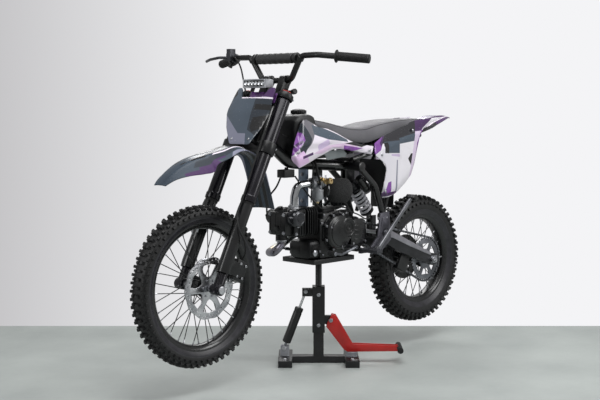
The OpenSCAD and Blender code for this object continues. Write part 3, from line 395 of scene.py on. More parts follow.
def meshFrom(name, corners, faces, finish):
    mesh = bpy.data.meshes.new(name)
    mesh.from_pydata([tuple(c) for c in corners], [], faces)
    work = bmesh.new()
    work.from_mesh(mesh)
    bmesh.ops.remove_doubles(work, verts=work.verts, dist=1e-6)
    bmesh.ops.recalc_face_normals(work, faces=work.faces)
    work.to_mesh(mesh)
    work.free()
    return newObject(name, mesh, finish)


def baked(piece):
    # the piece with its modifiers applied, as a plain mesh
    bpy.context.view_layer.update()
    mesh = bpy.data.meshes.new_from_object(piece.evaluated_get(bpy.context.evaluated_depsgraph_get()))
    if piece.type == "MESH":
        piece.modifiers.clear()
        piece.data = mesh
        return piece
    name = piece.name
    bpy.data.objects.remove(piece)
    return newObject(name, mesh)


def joined(name, pieces):
    pieces = [baked(p) for p in pieces]
    if len(pieces) > 1:
        with bpy.context.temp_override(active_object=pieces[0], selected_editable_objects=pieces):
            bpy.ops.object.join()
    pieces[0].name = name
    return pieces[0]


def settle(piece, body, slot, *nodes, angle=35):
    piece = baked(piece)
    mesh = piece.data
    mesh.polygons.foreach_set("use_smooth", [True] * len(mesh.polygons))
    mesh.set_sharp_from_angle(angle=math.radians(angle))
    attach(piece, body)
    if nodes:
        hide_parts(*nodes)
    return piece


def assemble(name, pieces, body, slot, *nodes, angle=35):
    return settle(joined(name, pieces), body, slot, *nodes, angle=angle)


def moved(piece, place):
    piece.data.transform(place)
    if place.determinant() < 0:
        piece.data.flip_normals()
    return piece


def tint(piece, finish, test):
    # second finish on the faces whose centre passes a test
    piece = baked(piece)
    piece.data.materials.append(finishes[finish])
    index = len(piece.data.materials) - 1
    for face in piece.data.polygons:
        if test(face.center):
            face.material_index = index
    return piece


def mirrored(piece, name=None):
    # copy of a piece on the other side of the motorcycle
    twin = newObject(name or piece.name, piece.data.copy())
    return moved(twin, Matrix.Scale(-1, 4, (0, 1, 0)))


def addBevel(piece, width, segments=2, angle=30):
    bevel = piece.modifiers.new("edges", "BEVEL")
    bevel.width = width
    bevel.segments = segments
    bevel.limit_method = "ANGLE"
    bevel.angle_limit = math.radians(angle)
    return piece


def softened(node, name, finish, width=0.0012, segments=2):
    # merged copy of a CAD node with rounded edges
    mesh = frame["nodes"][node].data.copy()
    work = bmesh.new()
    work.from_mesh(mesh)
    bmesh.ops.remove_doubles(work, verts=work.verts, dist=2e-6)
    bmesh.ops.dissolve_limit(work, angle_limit=math.radians(1), verts=work.verts, edges=work.edges)
    work.to_mesh(mesh)
    work.free()
    piece = newObject(name, mesh, finish)
    if width:
        addBevel(piece, width, segments)
    return piece


def refit(node, name, finish, body, slot, width=0.0012, segments=2):
    settle(softened(node, name, finish, width, segments), body, slot, node)


def lathe(name, outline, finish, place=Matrix(), steps=64, ring=False):
    # outline of (radius, height) in millimetres, turned about Z of its place; a ring closes on itself
    corners, faces = [], []
    count = len(outline)
    for i in range(steps):
        a = 2 * math.pi * i / steps
        corners += [place @ point(r * math.cos(a), r * math.sin(a), h) for r, h in outline]
    for i in range(steps):
        here, there = i * count, (i + 1) % steps * count
        for j in range(count if ring else count - 1):
            k = (j + 1) % count
            faces.append((here + j, here + k, there + k, there + j))
    if not ring:
        for j in (0, count - 1):
            if outline[j][0] > 0.01:
                faces.append([i * count + j for i in range(steps)])
    return meshFrom(name, corners, faces, finish)


def upright(y):
    # place of a plate that stands lengthwise
    return shift(0, y, 0) @ Matrix.Rotation(math.pi / 2, 4, "X")


def crosswise(x, y, z):
    # place of a plate that faces forward
    return shift(x, y, z) @ Matrix.Rotation(math.pi / 2, 4, "Z") @ Matrix.Rotation(math.pi / 2, 4, "X")


def alongY(at):
    # place whose Z points to the left of the motorcycle
    return Matrix.Translation(at) @ Matrix.Rotation(-math.pi / 2, 4, "X")


def facing(at, way, spin=0):
    # place whose Z points along way
    turn = Vector(way).to_track_quat("Z", "Y").to_matrix().to_4x4()
    return Matrix.Translation(at) @ turn @ Matrix.Rotation(spin, 4, "Z")


def rounded(corners, bend, steps=6):
    # route whose corners are arcs of one radius, in metres
    route = [corners[0]]
    for before, at, after in zip(corners, corners[1:], corners[2:]):
        along, away = (at - before).normalized(), (after - at).normalized()
        turn = along.angle(away)
        if turn < 0.01:
            route.append(at)
            continue
        trim = min(bend * math.tan(turn / 2), (at - before).length * 0.48, (after - at).length * 0.48)
        radius = trim / math.tan(turn / 2)
        inward = (away - along * along.dot(away)).normalized()
        centre = at - along * trim + inward * radius
        for k in range(steps + 1):
            a = turn * k / steps
            route.append(centre + (along * math.sin(a) - inward * math.cos(a)) * radius)
    return route + [corners[-1]]


def curved(points, steps=6):
    # smooth route through every point
    route = []
    for i in range(len(points) - 1):
        p0, p1, p2 = points[max(0, i - 1)], points[i], points[i + 1]
        p3 = points[min(len(points) - 1, i + 2)]
        for k in range(steps):
            t = k / steps
            route.append(0.5 * (2 * p1 + (p2 - p0) * t + (2 * p0 - 5 * p1 + 4 * p2 - p3) * t * t
                                + (3 * p1 - p0 - 3 * p2 + p3) * t ** 3))
    return route + [points[-1]]


def tube(name, route, radius, finish, count=20, flat=1.0, cap=True):
    # round or flattened bar along a route; radius is one number or one for each point, in millimetres
    radii = radius if isinstance(radius, list) else [radius] * len(route)
    last = len(route) - 1
    ways = [(route[min(last, i + 1)] - route[max(0, i - 1)]).normalized() for i in range(last + 1)]
    side = ways[0].orthogonal() if abs(ways[0].y) > 0.95 else ways[0].cross(Vector((0, 1, 0)))
    side.normalize()
    corners, faces = [], []
    for at, way, r in zip(route, ways, radii):
        side = (side - way * side.dot(way)).normalized()
        top = way.cross(side)
        for k in range(count):
            a = 2 * math.pi * k / count
            corners.append(at + (side * math.cos(a) * flat + top * math.sin(a)) * r * 0.001)
    for i in range(last):
        for k in range(count):
            m = (k + 1) % count
            faces.append((i * count + k, i * count + m, (i + 1) * count + m, (i + 1) * count + k))
    if cap:
        faces += [list(range(count)), [last * count + k for k in range(count)]]
    return meshFrom(name, corners, faces, finish)


def plate(name, outlines, thick, finish, place=Matrix(), edge=0.6):
    # flat plate with holes, millimetres, lying in XY of its place and centred on it in height
    curve = bpy.data.curves.new(name, "CURVE")
    curve.dimensions = "2D"
    curve.fill_mode = "BOTH"
    curve.extrude = (thick / 2 - edge) * 0.001
    curve.bevel_depth = edge * 0.001
    curve.bevel_resolution = 1
    curve.offset = -edge * 0.001
    for outline in outlines:
        spline = curve.splines.new("POLY")
        spline.points.add(len(outline) - 1)
        for dot, (x, y) in zip(spline.points, outline):
            dot.co = (x * 0.001, y * 0.001, 0, 1)
        spline.use_cyclic_u = True
    piece = baked(newObject(name, curve))
    work = bmesh.new()
    work.from_mesh(piece.data)
    bmesh.ops.remove_doubles(work, verts=work.verts, dist=1e-6)
    bmesh.ops.recalc_face_normals(work, faces=work.faces)
    work.to_mesh(piece.data)
    work.free()
    repaint(piece, finish)
    return moved(piece, place)


def lofted(name, rings, finish):
    # closed skin over rings of equal count
    count, last = len(rings[0]), len(rings) - 1
    faces = [(i * count + j, i * count + (j + 1) % count, (i + 1) * count + (j + 1) % count, (i + 1) * count + j)
             for i in range(last) for j in range(count)] + [list(range(count)),
                 [last * count + j for j in range(count)]]
    return meshFrom(name, [corner for ring in rings for corner in ring], faces, finish)


def polar(r, a):
    return (r * math.cos(a), r * math.sin(a))


def circle(x, y, r, count=24):
    return [(x + r * math.cos(2 * math.pi * i / count), y + r * math.sin(2 * math.pi * i / count))
            for i in range(count)]


def block(name, low, high, finish, edge=1.0, place=Matrix()):
    low, high = point(*low), point(*high)
    corners = [place @ Vector((x, y, z)) for x in (low.x, high.x) for y in (low.y, high.y) for z in (low.z, high.z)]
    faces = [(0, 1, 3, 2), (4, 6, 7, 5), (0, 4, 5, 1), (2, 3, 7, 6), (0, 2, 6, 4), (1, 5, 7, 3)]
    return addBevel(meshFrom(name, corners, faces, finish), edge * 0.001, 2)


def scatterTree():
    # instances of one part on points that carry a turn and a size
    tree = bpy.data.node_groups.new("scatterParts", "GeometryNodeTree")
    sockets = {}
    for label, kind in (("Geometry", "NodeSocketGeometry"), ("Part", "NodeSocketObject"), ("Size", "NodeSocketFloat"),
                        ("Finish", "NodeSocketMaterial")):
        sockets[label] = tree.interface.new_socket(label, in_out="INPUT", socket_type=kind)
    sockets["Size"].default_value = 1
    tree.interface.new_socket("Geometry", in_out="OUTPUT", socket_type="NodeSocketGeometry")

    def add(kind, **settings):
        made = tree.nodes.new(kind)
        for key, value in settings.items():
            setattr(made, key, value)
        return made

    entry, leave = add("NodeGroupInput"), add("NodeGroupOutput")
    part = add("GeometryNodeObjectInfo")
    turn = add("GeometryNodeInputNamedAttribute", data_type="FLOAT_VECTOR")
    size = add("GeometryNodeInputNamedAttribute", data_type="FLOAT_VECTOR")
    turn.inputs["Name"].default_value = "turn"
    size.inputs["Name"].default_value = "size"
    rotation = add("FunctionNodeEulerToRotation")
    scale = add("ShaderNodeVectorMath", operation="SCALE")
    spread = add("GeometryNodeInstanceOnPoints")
    real = add("GeometryNodeRealizeInstances")
    colour = add("GeometryNodeSetMaterial")
    for a, b in (
            (entry.outputs["Geometry"], spread.inputs["Points"]), (entry.outputs["Part"], part.inputs["Object"]),
            (part.outputs["Geometry"], spread.inputs["Instance"]), (turn.outputs["Attribute"], rotation.inputs[0]),
            (rotation.outputs[0], spread.inputs["Rotation"]), (size.outputs["Attribute"], scale.inputs[0]),
            (entry.outputs["Size"], scale.inputs["Scale"]), (scale.outputs[0], spread.inputs["Scale"]),
            (spread.outputs[0], real.inputs[0]), (real.outputs[0], colour.inputs["Geometry"]),
            (entry.outputs["Finish"], colour.inputs["Material"]), (colour.outputs[0], leave.inputs[0])):
        tree.links.new(a, b)
    return tree, {label: socket.identifier for label, socket in sockets.items()}


scatterParts, scatterSocket = scatterTree()


def scatter(name, part, places, finish, size=1.0):
    mesh = bpy.data.meshes.new(name)
    mesh.from_pydata([tuple(p.to_translation()) for p in places], [], [])
    turn = mesh.attributes.new("turn", "FLOAT_VECTOR", "POINT")
    stretch = mesh.attributes.new("size", "FLOAT_VECTOR", "POINT")
    for i, place in enumerate(places):
        turn.data[i].vector = place.to_euler()
        stretch.data[i].vector = place.to_scale()
    spread = newObject(name, mesh)
    modifier = spread.modifiers.new("scatter", "NODES")
    modifier.node_group = scatterParts
    modifier[scatterSocket["Part"]] = part
    modifier[scatterSocket["Size"]] = size
    modifier[scatterSocket["Finish"]] = finishes[finish]
    spread = baked(spread)
    for extra in ("turn", "size"):
        if extra in spread.data.attributes:
            spread.data.attributes.remove(spread.data.attributes[extra])
    return spread


def template(piece):
    # a part that is only copied from, kept out of the view
    piece = baked(piece)
    scene.collection.objects.unlink(piece)
    return piece


hexBolt = template(joined("hexBolt", [
    lathe("washer", [(0, 0), (7.2, 0), (7.2, 0.9), (6.6, 1.4), (0, 1.4)], "bolt", steps=14),
    lathe("head", [(0, 1.2), (5.0, 1.2), (5.0, 4.6), (4.2, 5.4), (0, 5.4)], "bolt", steps=6)]))
capBolt = template(joined("capBolt", [
    lathe("head", [(0, 0), (4.4, 0), (4.4, 4.2), (3.8, 4.9), (2.4, 4.9), (2.3, 2.8), (0, 2.8)], "bolt", steps=12)]))
panScrew = template(joined("panScrew", [
    lathe("head", [(0, 0), (5.6, 0), (5.5, 0.8), (4.3, 2.2), (2.1, 2.8), (1.9, 1.6), (0, 1.6)], "bolt", steps=14)]))


def fasten(name, part, spots, body="chassis"):
    # spots of (place in millimetres, way, size); each head is turned a little further than the last
    places = [facing(point(*at), way, i * 0.7) @ Matrix.Scale(size, 4) for i, (at, way, size) in enumerate(spots)]
    settle(scatter(name, part, places, "bolt"), body, "bolt_steel")


def spotOn(space, at):
    return tuple((space @ at) * 1000)


def bothSides(spots):
    return spots + [((x, -y, z), (a, -b, c), s) for (x, y, z), (a, b, c), s in spots]


print("tools ready")


# wheels
knobShape = {"levels": ((-0.2, 1), (0.78, 0.88), (1, 0.74)),  # height and size of each level
             "corners": ((0.5, 0.5), (-0.5, 0.5), (-0.5, -0.5), (0.5, -0.5))}
knobWalls = [(r * 4 + k, r * 4 + (k + 1) % 4, r * 4 + 4 + (k + 1) % 4, r * 4 + 4 + k) for r in (0, 1)
             for k in range(4)]
knobCorners = [(x * s, y * s, z) for z, s in knobShape["levels"] for x, y in knobShape["corners"]]
knobBlock = template(meshFrom("knob", knobCorners, [(3, 2, 1, 0), (8, 9, 10, 11)] + knobWalls, "tyre"))

frontWheel = {
    "axle": frontAxle, "node": "front_tyre", "rimNode": "front_rim", "body": "front_wheel", "knobs": 62, "spokes": 36,
    "bed": 204, "dish": 28,
    "wall": [(217, 19), (229, 24), (238, 28.6), (240, 30.4), (243, 30.6), (246, 31.2), (254, 32.6), (262, 31.5),
             (270, 26), (274.4, 15), (275.5, 0)],
    "rows": [(275, 8.5, 9, 12, 12.5, 11), (270.5, 23, 42, 11, 10, 11), (259, 32, 74, 13.5, 10, 6)],
    "rim": [(228, 22.5), (228, 19.6), (222, 18.4), (213, 17), (208, 9), (208, -9), (213, -17), (222, -18.4),
            (228, -19.6), (228, -22.5), (224, -22.8), (216, -21.4), (206, -13), (203.6, -6), (203.6, 6), (206, 13),
            (216, 21.4), (224, 22.8)],
}
rearWheel = {
    "axle": rearAxle, "node": "rear_tyre", "rimNode": "rear_rim", "body": "rear_wheel", "knobs": 54, "spokes": 36,
    "bed": 166, "dish": 30,
    "wall": [(180, 25), (191, 31), (203, 37), (206, 39.4), (209, 39.8), (214, 41.2), (226, 43), (240, 41), (250, 33),
             (256, 19), (257.5, 0)],
    "rows": [(257, 11.5, 7, 13, 16.5, 11.5), (251, 29.5, 38, 12, 12, 12), (236, 42.5, 74, 14.5, 11, 6)],
    "rim": [(190, 29), (190, 26), (184, 24.6), (175, 23), (170, 12), (170, -12), (175, -23), (184, -24.6), (190, -26),
            (190, -29), (186, -29.3), (178, -27.6), (168, -18), (165.6, -8), (165.6, 8), (168, 18), (178, 27.6),
            (186, 29.3)],
}


def wheel(settings):
    place = alongY(settings["axle"])
    wall = settings["wall"]
    carcass = lathe("carcass", [(r, -y) for r, y in wall] + [(r, y) for r, y in reversed(wall[:-1])], "tyre", place,
                    120, ring=True)
    # the faces near the bead take the lighter finish, a painted sheen ring on the sidewall
    carcass = tint(carcass, "tyreWall", lambda c: (c - settings["axle"]).length < (wall[5][0] + 1) * 0.001)
    spots = []
    for i in range(settings["knobs"]):
        for row, (r, y, tilt, long, wide, high) in enumerate(settings["rows"]):
            a = 2 * math.pi * (i + (0.5 if row == 1 else 0)) / settings["knobs"]
            out = Vector((math.cos(a), 0, math.sin(a)))
            along = Vector((-math.sin(a), 0, math.cos(a)))
            for side in sides:
                lean = math.radians(tilt)
                up = out * math.cos(lean) + Vector((0, side * math.sin(lean), 0))
                turn = Matrix((along, up.cross(along), up)).transposed().to_quaternion()
                shrink = 0.8 if row == 0 and i % 2 else 1
                size = Vector((long * shrink, wide * (1.1 if row == 0 and i % 2 else 1), high)) * 0.001
                at = settings["axle"] + out * r * 0.001 + Vector((0, side * y * 0.001, 0))
                spots.append(Matrix.LocRotScale(at, turn, size))
    knobs = scatter("knobs", knobBlock, spots, "tyre")
    assemble(settings["body"] + "Tyre", [carcass, knobs], settings["body"], "tyre_rubber", settings["node"], angle=30)
    hoop = lathe(settings["body"] + "Rim", settings["rim"], "coverBlack", place, 120, ring=True)
    settle(hoop, settings["body"], "rim_black", settings["rimNode"], angle=40)
    nipple = template(lathe("nipple", [(0, 0), (2.9, 0), (3.1, 3), (2.4, 11), (1.7, 13), (0, 13)], "bolt", steps=8))
    ends = []
    for i in range(settings["spokes"]):
        side = 1 if i % 2 == 0 else -1
        way = 1 if i // 2 % 2 == 0 else -1
        a = 2 * math.pi * i / settings["spokes"]
        b = a - way * math.radians(32)
        start = point(math.cos(b) * 31, side * (settings["dish"] + way * 1.7), math.sin(b) * 31)
        end = point(math.cos(a) * (settings["bed"] - 0.5), side * 5, math.sin(a) * (settings["bed"] - 0.5))
        ends.append(facing(settings["axle"] + end, start - end))
    settle(scatter(settings["body"] + "Nipples", nipple, ends, "bolt"), settings["body"], "bolt_steel")
    caps = [lathe("seal", [(9, s * 46), (20, s * 46), (21, s * 44), (21, s * 34), (30, s * 33),
                           (34, s * (settings["dish"] + 3.6)), (9, s * (settings["dish"] + 3.6))],
                  "clampBlack", place, 48, ring=True) for s in sides]
    assemble(settings["body"] + "HubRings", caps, settings["body"], "rim_black")


wheel(frontWheel)
wheel(rearWheel)

discLook = {"radius": 110, "waves": 10, "wave": 1.8,
            "holes": ((104, 0, 2.8), (98, 9, 2.8), (92, 18, 2.8), (98, 27, 2.4))}


def waveDisc(name, centre, settings, thick):
    waves = settings["waves"]
    rim = [polar(settings["radius"] - settings["wave"] * (1 - math.cos(waves * a)), a)
           for a in [2 * math.pi * i / 160 for i in range(160)]]
    outlines = [rim, circle(0, 0, 9.5, 32)]
    for k in range(waves):
        for r, turn, size in settings["holes"]:
            a = math.radians(k * 360 / waves + turn)
            outlines.append(circle(r * math.cos(a), r * math.sin(a), size, 12))
    for k in range(6):
        window = [(85, 0.14), (86, 0.5), (85, 0.9), (64, 0.95), (44, 0.78), (38, 0.55), (44, 0.32), (64, 0.2)]
        outlines.append([polar(r, k * math.pi / 3 + a) for r, a in window])
    return plate(name, outlines, thick, "disc", alongY(centre), edge=0.4)


settle(waveDisc("frontDisc", frontAxle + point(0, 52, 0), discLook, 4), "front_wheel", "disc_steel", "front_disc",
       angle=30)
discBolts = [((frontAxle.x * 1000 + 30 * math.cos(a), 54, frontAxle.z * 1000 + 30 * math.sin(a)), (0, 1, 0), 0.8)
             for a in [k * math.pi / 3 + 1.15 for k in range(6)]]
fasten("frontDiscBolts", capBolt, discBolts, "front_wheel")

sprocketLook = {"teeth": 43, "root": 85.5, "tip": 91.5}
teeth = sprocketLook["teeth"]
toothed = []
for i in range(teeth):
    for share, r in ((0, "root"), (0.22, "root"), (0.42, "tip"), (0.58, "tip"), (0.78, "root")):
        a = 2 * math.pi * (i + share) / teeth
        toothed.append(polar(sprocketLook[r], a))
windows = [[polar(r, k * math.pi / 3 + a) for r, a in ((70, 0.14), (70, 0.9), (44, 0.86), (38, 0.52), (44, 0.18))]
           for k in range(6)]
settle(plate("rearSprocket", [toothed, circle(0, 0, 9.5, 32)] + windows, 4, "steel",
             alongY(rearAxle + point(0, 56, 0)), edge=0.4),
       "rear_wheel", "sprocket_steel", "rear_sprocket", angle=30)

# chain: links at equal steps along the belt round both sprockets
chainLook = {"pitch": 12.7, "radius": 93, "driveRadius": 34, "drive": (-168, 520), "y": 56}
driveAt = Vector((chainLook["drive"][0], chainLook["drive"][1]))
wheelAt = Vector((rearAxle.x, rearAxle.z)) * 1000
gap = driveAt - wheelAt
slope = math.atan2(gap.y, gap.x)
opening = math.acos((chainLook["radius"] - chainLook["driveRadius"]) / gap.length)
belt = []
for k in range(60):
    a = slope + opening + (2 * math.pi - 2 * opening) * k / 59
    belt.append(wheelAt + Vector(polar(1, a)) * chainLook["radius"])
for k in range(24):
    a = slope - opening + 2 * opening * k / 23
    belt.append(driveAt + Vector(polar(1, a)) * chainLook["driveRadius"])
belt.append(belt[0])
lengths = [0]
for a, b in zip(belt, belt[1:]):
    lengths.append(lengths[-1] + (b - a).length)
linkCount = round(lengths[-1] / chainLook["pitch"] / 2) * 2


def onBelt(distance):
    distance %= lengths[-1]
    i = max(j for j in range(len(lengths) - 1) if lengths[j] <= distance)
    share = (distance - lengths[i]) / max(1e-9, lengths[i + 1] - lengths[i])
    return belt[i].lerp(belt[i + 1], share)


def linkEnd(x, first, last):
    return [(x + 4.6 * math.cos(a), 4.6 * math.sin(a)) for a in [math.radians(d) for d in range(first, last, 40)]]


linkSide = linkEnd(-6.4, 60, 301) + [(0, -3.1)] + linkEnd(6.4, -120, 121) + [(0, 3.1)]
link = template(joined("link", [
    plate("plate", [linkSide], 1.3, "chainSteel", shift(0, 0, z), edge=0.2) for z in (-4.1, 4.1)] + [
    lathe("roller", [(0, -4.9), (3.7, -4.9), (3.7, 4.9), (0, 4.9)], "chainSteel", shift(6.4, 0, 0), 8)]))
linkSpots = []
for i in range(linkCount):
    a, b = onBelt(lengths[-1] * i / linkCount), onBelt(lengths[-1] * (i + 1) / linkCount)
    ahead, up = Vector((b.x - a.x, 0, b.y - a.y)).normalized(), Vector((0, 1, 0))
    turn = Matrix((ahead, up.cross(ahead), up)).transposed().to_quaternion()
    centre = point((a.x + b.x) / 2, chainLook["y"], (a.y + b.y) / 2)
    linkSpots.append(Matrix.LocRotScale(centre, turn, Vector((1, 1, 0.72 if i % 2 else 1))))
settle(scatter("driveChain", link, linkSpots, "chainSteel"), "chassis", "chain_steel", "drive_chain", angle=30)
for node in ("front_hub", "rear_hub"):
    repaint(frame["nodes"][node], "coverBlack")
print("wheels made")


# fork and clamps
forkLegs = {"y": 95,
            "tube": [(19, 327), (27, 327), (27.6, 330), (27.6, 346), (25.4, 349), (25, 352), (25, 752), (24, 754),
                     (0, 754)],
            "seal": [(18.7, 316), (22.5, 316), (23.6, 319), (23.6, 326), (18.7, 327)],
            "cap": [(0, 754), (20, 754), (20, 756.5), (17.5, 759), (13, 759.6), (12, 757.5), (6, 757.5), (5, 761),
                    (0, 761)]}
tubes, seals, caps = [], [], []
for side in sides:
    leg = forkSpace @ shift(0, side * forkLegs["y"], 0)
    tubes.append(lathe("tube", forkLegs["tube"], "forkBlack", leg, 64))
    seals.append(lathe("seal", forkLegs["seal"], "rubber", leg, 48, ring=True))
    caps.append(lathe("cap", forkLegs["cap"], "redCap", leg, 32))
assemble("forkTubes", tubes, "steering", "fork_grey", "fork_tubes")
assemble("forkSeals", seals, "steering", "grip_rubber")
assemble("forkCaps", caps, "steering", "fork_grey")
refit("fork_sliders", "forkSliders", "forkBlack", "steering", "fork_grey", 0.0012)


def clampOutline(ear, boss):
    def arc(x, y, r, low, high, count):
        return [(x + r * math.cos(math.radians(low + (high - low) * k / count)),
                 y + r * math.sin(math.radians(low + (high - low) * k / count)))
                for k in range(count + 1)]
    y = forkLegs["y"]
    front = [(15, -52), (9, -26), (8, 0), (9, 26), (15, 52)]
    return arc(0, y, ear, -28, 218, 22) + arc(-30, 0, boss, 118, 242, 10) + arc(0, -y, ear, 142, 388, 22) + front


clampSettings = {"ear": 31, "stem": -30, "clamps": ((534, 44, 30), (738, 20, 27))}  # each at, thick, boss
clamps = []
for at, thick, boss in clampSettings["clamps"]:
    outline = clampOutline(clampSettings["ear"], boss)
    holes = [circle(0, s * forkLegs["y"], 25.2, 40) for s in sides]
    clamps.append(plate("clamp", [outline] + holes, thick, "clampBlack", forkSpace @ shift(0, 0, at), edge=2.2))
stem = forkSpace @ shift(clampSettings["stem"], 0, 0)
clamps.append(lathe("stem", [(0, 556), (16, 556), (16, 560), (14, 562), (14, 722), (17, 724), (17, 728), (0, 728)],
                    "clampBlack", stem, 40))
clamps.append(lathe("stemNut", [(0, 748), (15, 748), (15, 756), (13, 758.5), (8, 758.5), (7.5, 755), (0, 755)],
                    "bolt", stem, 6))
assemble("tripleClamps", clamps, "steering", "clamp_black", "triple_clamps")
backward = forkSpace.to_3x3() @ Vector((-1, 0, 0))
clampBolts = [(spotOn(forkSpace, point(-24, side * 113, at)), tuple(backward), 0.9)
              for side in sides for at in (524, 544, 738)]
fasten("clampBolts", capBolt, clampBolts, "steering")

guardSettings = {"rows": [60, 64, 80, 130, 190, 250, 300, 312, 316], "radii": (26, 23.4), "reach": 104, "arcs": 18,
                 "bulge": 1.2}
rows, arcSteps, reach = guardSettings["rows"], guardSettings["arcs"], guardSettings["reach"]
guards = []
for side in sides:
    leg = forkSpace @ shift(0, side * forkLegs["y"], 0)
    corners, faces = [], []
    for r in guardSettings["radii"]:
        for z in rows:
            narrow = 0.82 if z in (rows[0], rows[-1]) else 1
            for k in range(arcSteps + 1):
                a = math.radians((-reach + 2 * reach * k / arcSteps) * narrow)
                bulge = guardSettings["bulge"] if 80 <= z <= 300 and abs(k - arcSteps / 2) < 4 else 0
                corners.append(leg @ point((r + bulge) * math.cos(a), (r + bulge) * math.sin(a), z))
    width = arcSteps + 1
    layer = len(rows) * width
    for i in range(len(rows) - 1):
        for k in range(arcSteps):
            a = i * width + k
            faces.append((a, a + 1, a + 1 + width, a + width))
            faces.append((layer + a, layer + a + width, layer + a + 1 + width, layer + a + 1))
        for k in (0, arcSteps):
            a = i * width + k
            faces.append((a, a + width, layer + a + width, layer + a))
    for i in (0, len(rows) - 1):
        for k in range(arcSteps):
            a = i * width + k
            faces.append((a, a + 1, layer + a + 1, layer + a))
    guards.append(meshFrom("guard", corners, faces, "coverBlack"))
assemble("forkGuards", guards, "steering", "black_plastic", "fork_guards", angle=40)
refit("front_axle", "frontAxleBolt", "bolt", "steering", "bolt_steel", 0.001)
refit("front_brake_caliper", "frontCaliper", "clampBlack", "steering", "caliper_black", 0.004, 3)
caliperBolts = [(spotOn(forkSpace, point(x, 83, z)), (0, 1, 0), 1.0) for x in (-100, -74) for z in (76, 122)]
fasten("frontCaliperBolts", capBolt, caliperBolts, "steering")
print("fork made")

# handlebar and controls
barSettings = {"x": frontAxle.x * 1000 - 384, "z": frontAxle.z * 1000 + 722, "radius": 11, "end": (-76, 385, 71),
               "sweep": (2, 205, 89), "riseTop": (6, 130, 88), "riseLow": (0, 72, 0)}


def barPoint(name, side):
    x, y, z = barSettings[name]
    return point(barSettings["x"] + x, side * y, barSettings["z"] + z)


def barWay(side):
    return (barPoint("end", side) - barPoint("sweep", side)).normalized()


names = ("end", "sweep", "riseTop", "riseLow")
barRoute = rounded([barPoint(n, -1) for n in names] + [barPoint(n, 1) for n in reversed(names)], 0.036, 8)
braceAt = (barSettings["x"] + 5, barSettings["z"] + 80)
bar = tube("bar", barRoute, barSettings["radius"], "clampBlack", 28)
brace = tube("brace", [point(braceAt[0], y, braceAt[1]) for y in (-124, -60, 60, 124)], 6.5, "clampBlack", 20)
lugs = [lathe("lug", [(0, -9), (12.5, -9), (14, -7.5), (14, 7.5), (12.5, 9), (0, 9)], "clampBlack",
              facing(point(braceAt[0] - 0.5, side * 125, braceAt[1] - 1),
                     barPoint("riseTop", side) - barPoint("riseLow", side)), 28) for side in sides]
assemble("handlebarTube", [bar, brace] + lugs, "steering", "clamp_black", "handlebar")
refit("bar_clamps", "barClamps", "clampBlack", "steering", "clamp_black", 0.002, 3)
riserBolts = []
for side in sides:
    for dy in (-9, 9):
        for dx in (-13, 13):
            riserBolts.append(((barSettings["x"] + dx, side * 42 + dy, barSettings["z"] + 17 - abs(dx) * 0.25),
                               (dx * 0.02, 0, 1), 0.8))
fasten("riserBolts", capBolt, riserBolts, "steering")

gripSettings = {"ribs": 26, "first": 6, "pitch": 4.3}
gripOutline = [(11.2, 1), (15, 1), (16.6, 3)]
for k in range(gripSettings["ribs"]):
    s = gripSettings["first"] + k * gripSettings["pitch"]
    gripOutline += [(16.3, s), (16.3, s + 2.1), (15.1, s + 2.6), (15.1, s + 3.9)]
gripOutline += [(16.5, 118.5), (19.6, 121), (23.2, 122.4), (23.2, 124.6), (20, 126.6), (11.2, 126.6)]
gripPieces = [lathe("grip", gripOutline, "grip", facing(barPoint("end", side), -barWay(side)), 48, ring=True)
              for side in sides]
assemble("gripRubbers", gripPieces, "steering", "grip_rubber", "grips", angle=50)
refit("throttle_housing", "throttleHousing", "plasticBlack", "steering", "black_plastic", 0.002, 3)
refit("brake_lever", "brakeLever", "leverGrey", "steering", "lever_steel", 0.0018, 3)
print("controls made")

# padded sleeve on the cross brace, with shallow waves along it
padSettings = {"radius": 19.4, "wrap": 0.5}
padOutline = [(6.6, -91), (13, -91.6), (17.4, -90), (19.2, -86.5)]
padOutline += [(padSettings["radius"] + padSettings["wrap"] * math.cos(y * 0.21) * (1 if abs(y) < 80 else 0.4), y)
               for y in range(-82, 83, 4)]
padOutline += [(19.2, 86.5), (17.4, 90), (13, 91.6), (6.6, 91)]
pad = lathe("barPad", padOutline, "padVinyl", alongY(point(braceAt[0], 0, braceAt[1])), 48, ring=True)
pad = settle(pad, "steering", "pad_vinyl", "bar_pad", angle=60)
collars = [lathe("collar", [(6.6, 0), (17, 0), (20, 3), (20, 13), (17, 16), (6.6, 16)], "plasticBlack",
                 facing(point(braceAt[0], side * 97, braceAt[1]), (0, side, 0)), 32) for side in sides]
assemble("padCollars", collars, "steering", "black_plastic")
switchKnob = lathe("knob", [(0, -14), (8, -14), (8, 6), (10.5, 8), (10.5, 20), (8.5, 22), (0, 22)], "plasticBlack",
                   facing(point(196, 62, 1056), (0.2, 1, 0.1)), 24)
assemble("ignitionSwitch", [switchKnob, block("tab", (188, 44, 1050), (214, 54, 1062), "plasticBlack", 1)],
         "steering", "black_plastic")
flap = tube("barPadSeam", [point(braceAt[0] - 19.2, y, braceAt[1] - 3) for y in range(-84, 85, 6)], 1.3, "padVinyl",
            8)
settle(flap, "steering", "pad_vinyl")


# brake hose, along the same route as its solid
hosePoints = [(31, -222.8, 894), (34, -202, 886), (37, -150, 842), (37, -90, 760), (33, -40, 690), (30, 30, 645),
              (33, 84, 600), (38, 98, 540), (36, 98, 440), (34, 100, 340), (38, 106, 270), (30, 128, 220),
              (-10, 134, 186), (-52, 112, 156), (-84, 70, 139)]
hoseRoute = [forkSpace @ p for p in curved([point(*p) for p in hosePoints], 5)]
hoseLength = sum((b - a).length for a, b in zip(hoseRoute, hoseRoute[1:]))
hose = settle(tube("brakeHose", hoseRoute, 3, "rubber", 14), "steering", "hose_rubber", "brake_hose", angle=60)
print("hose length", round(hoseLength, 3))


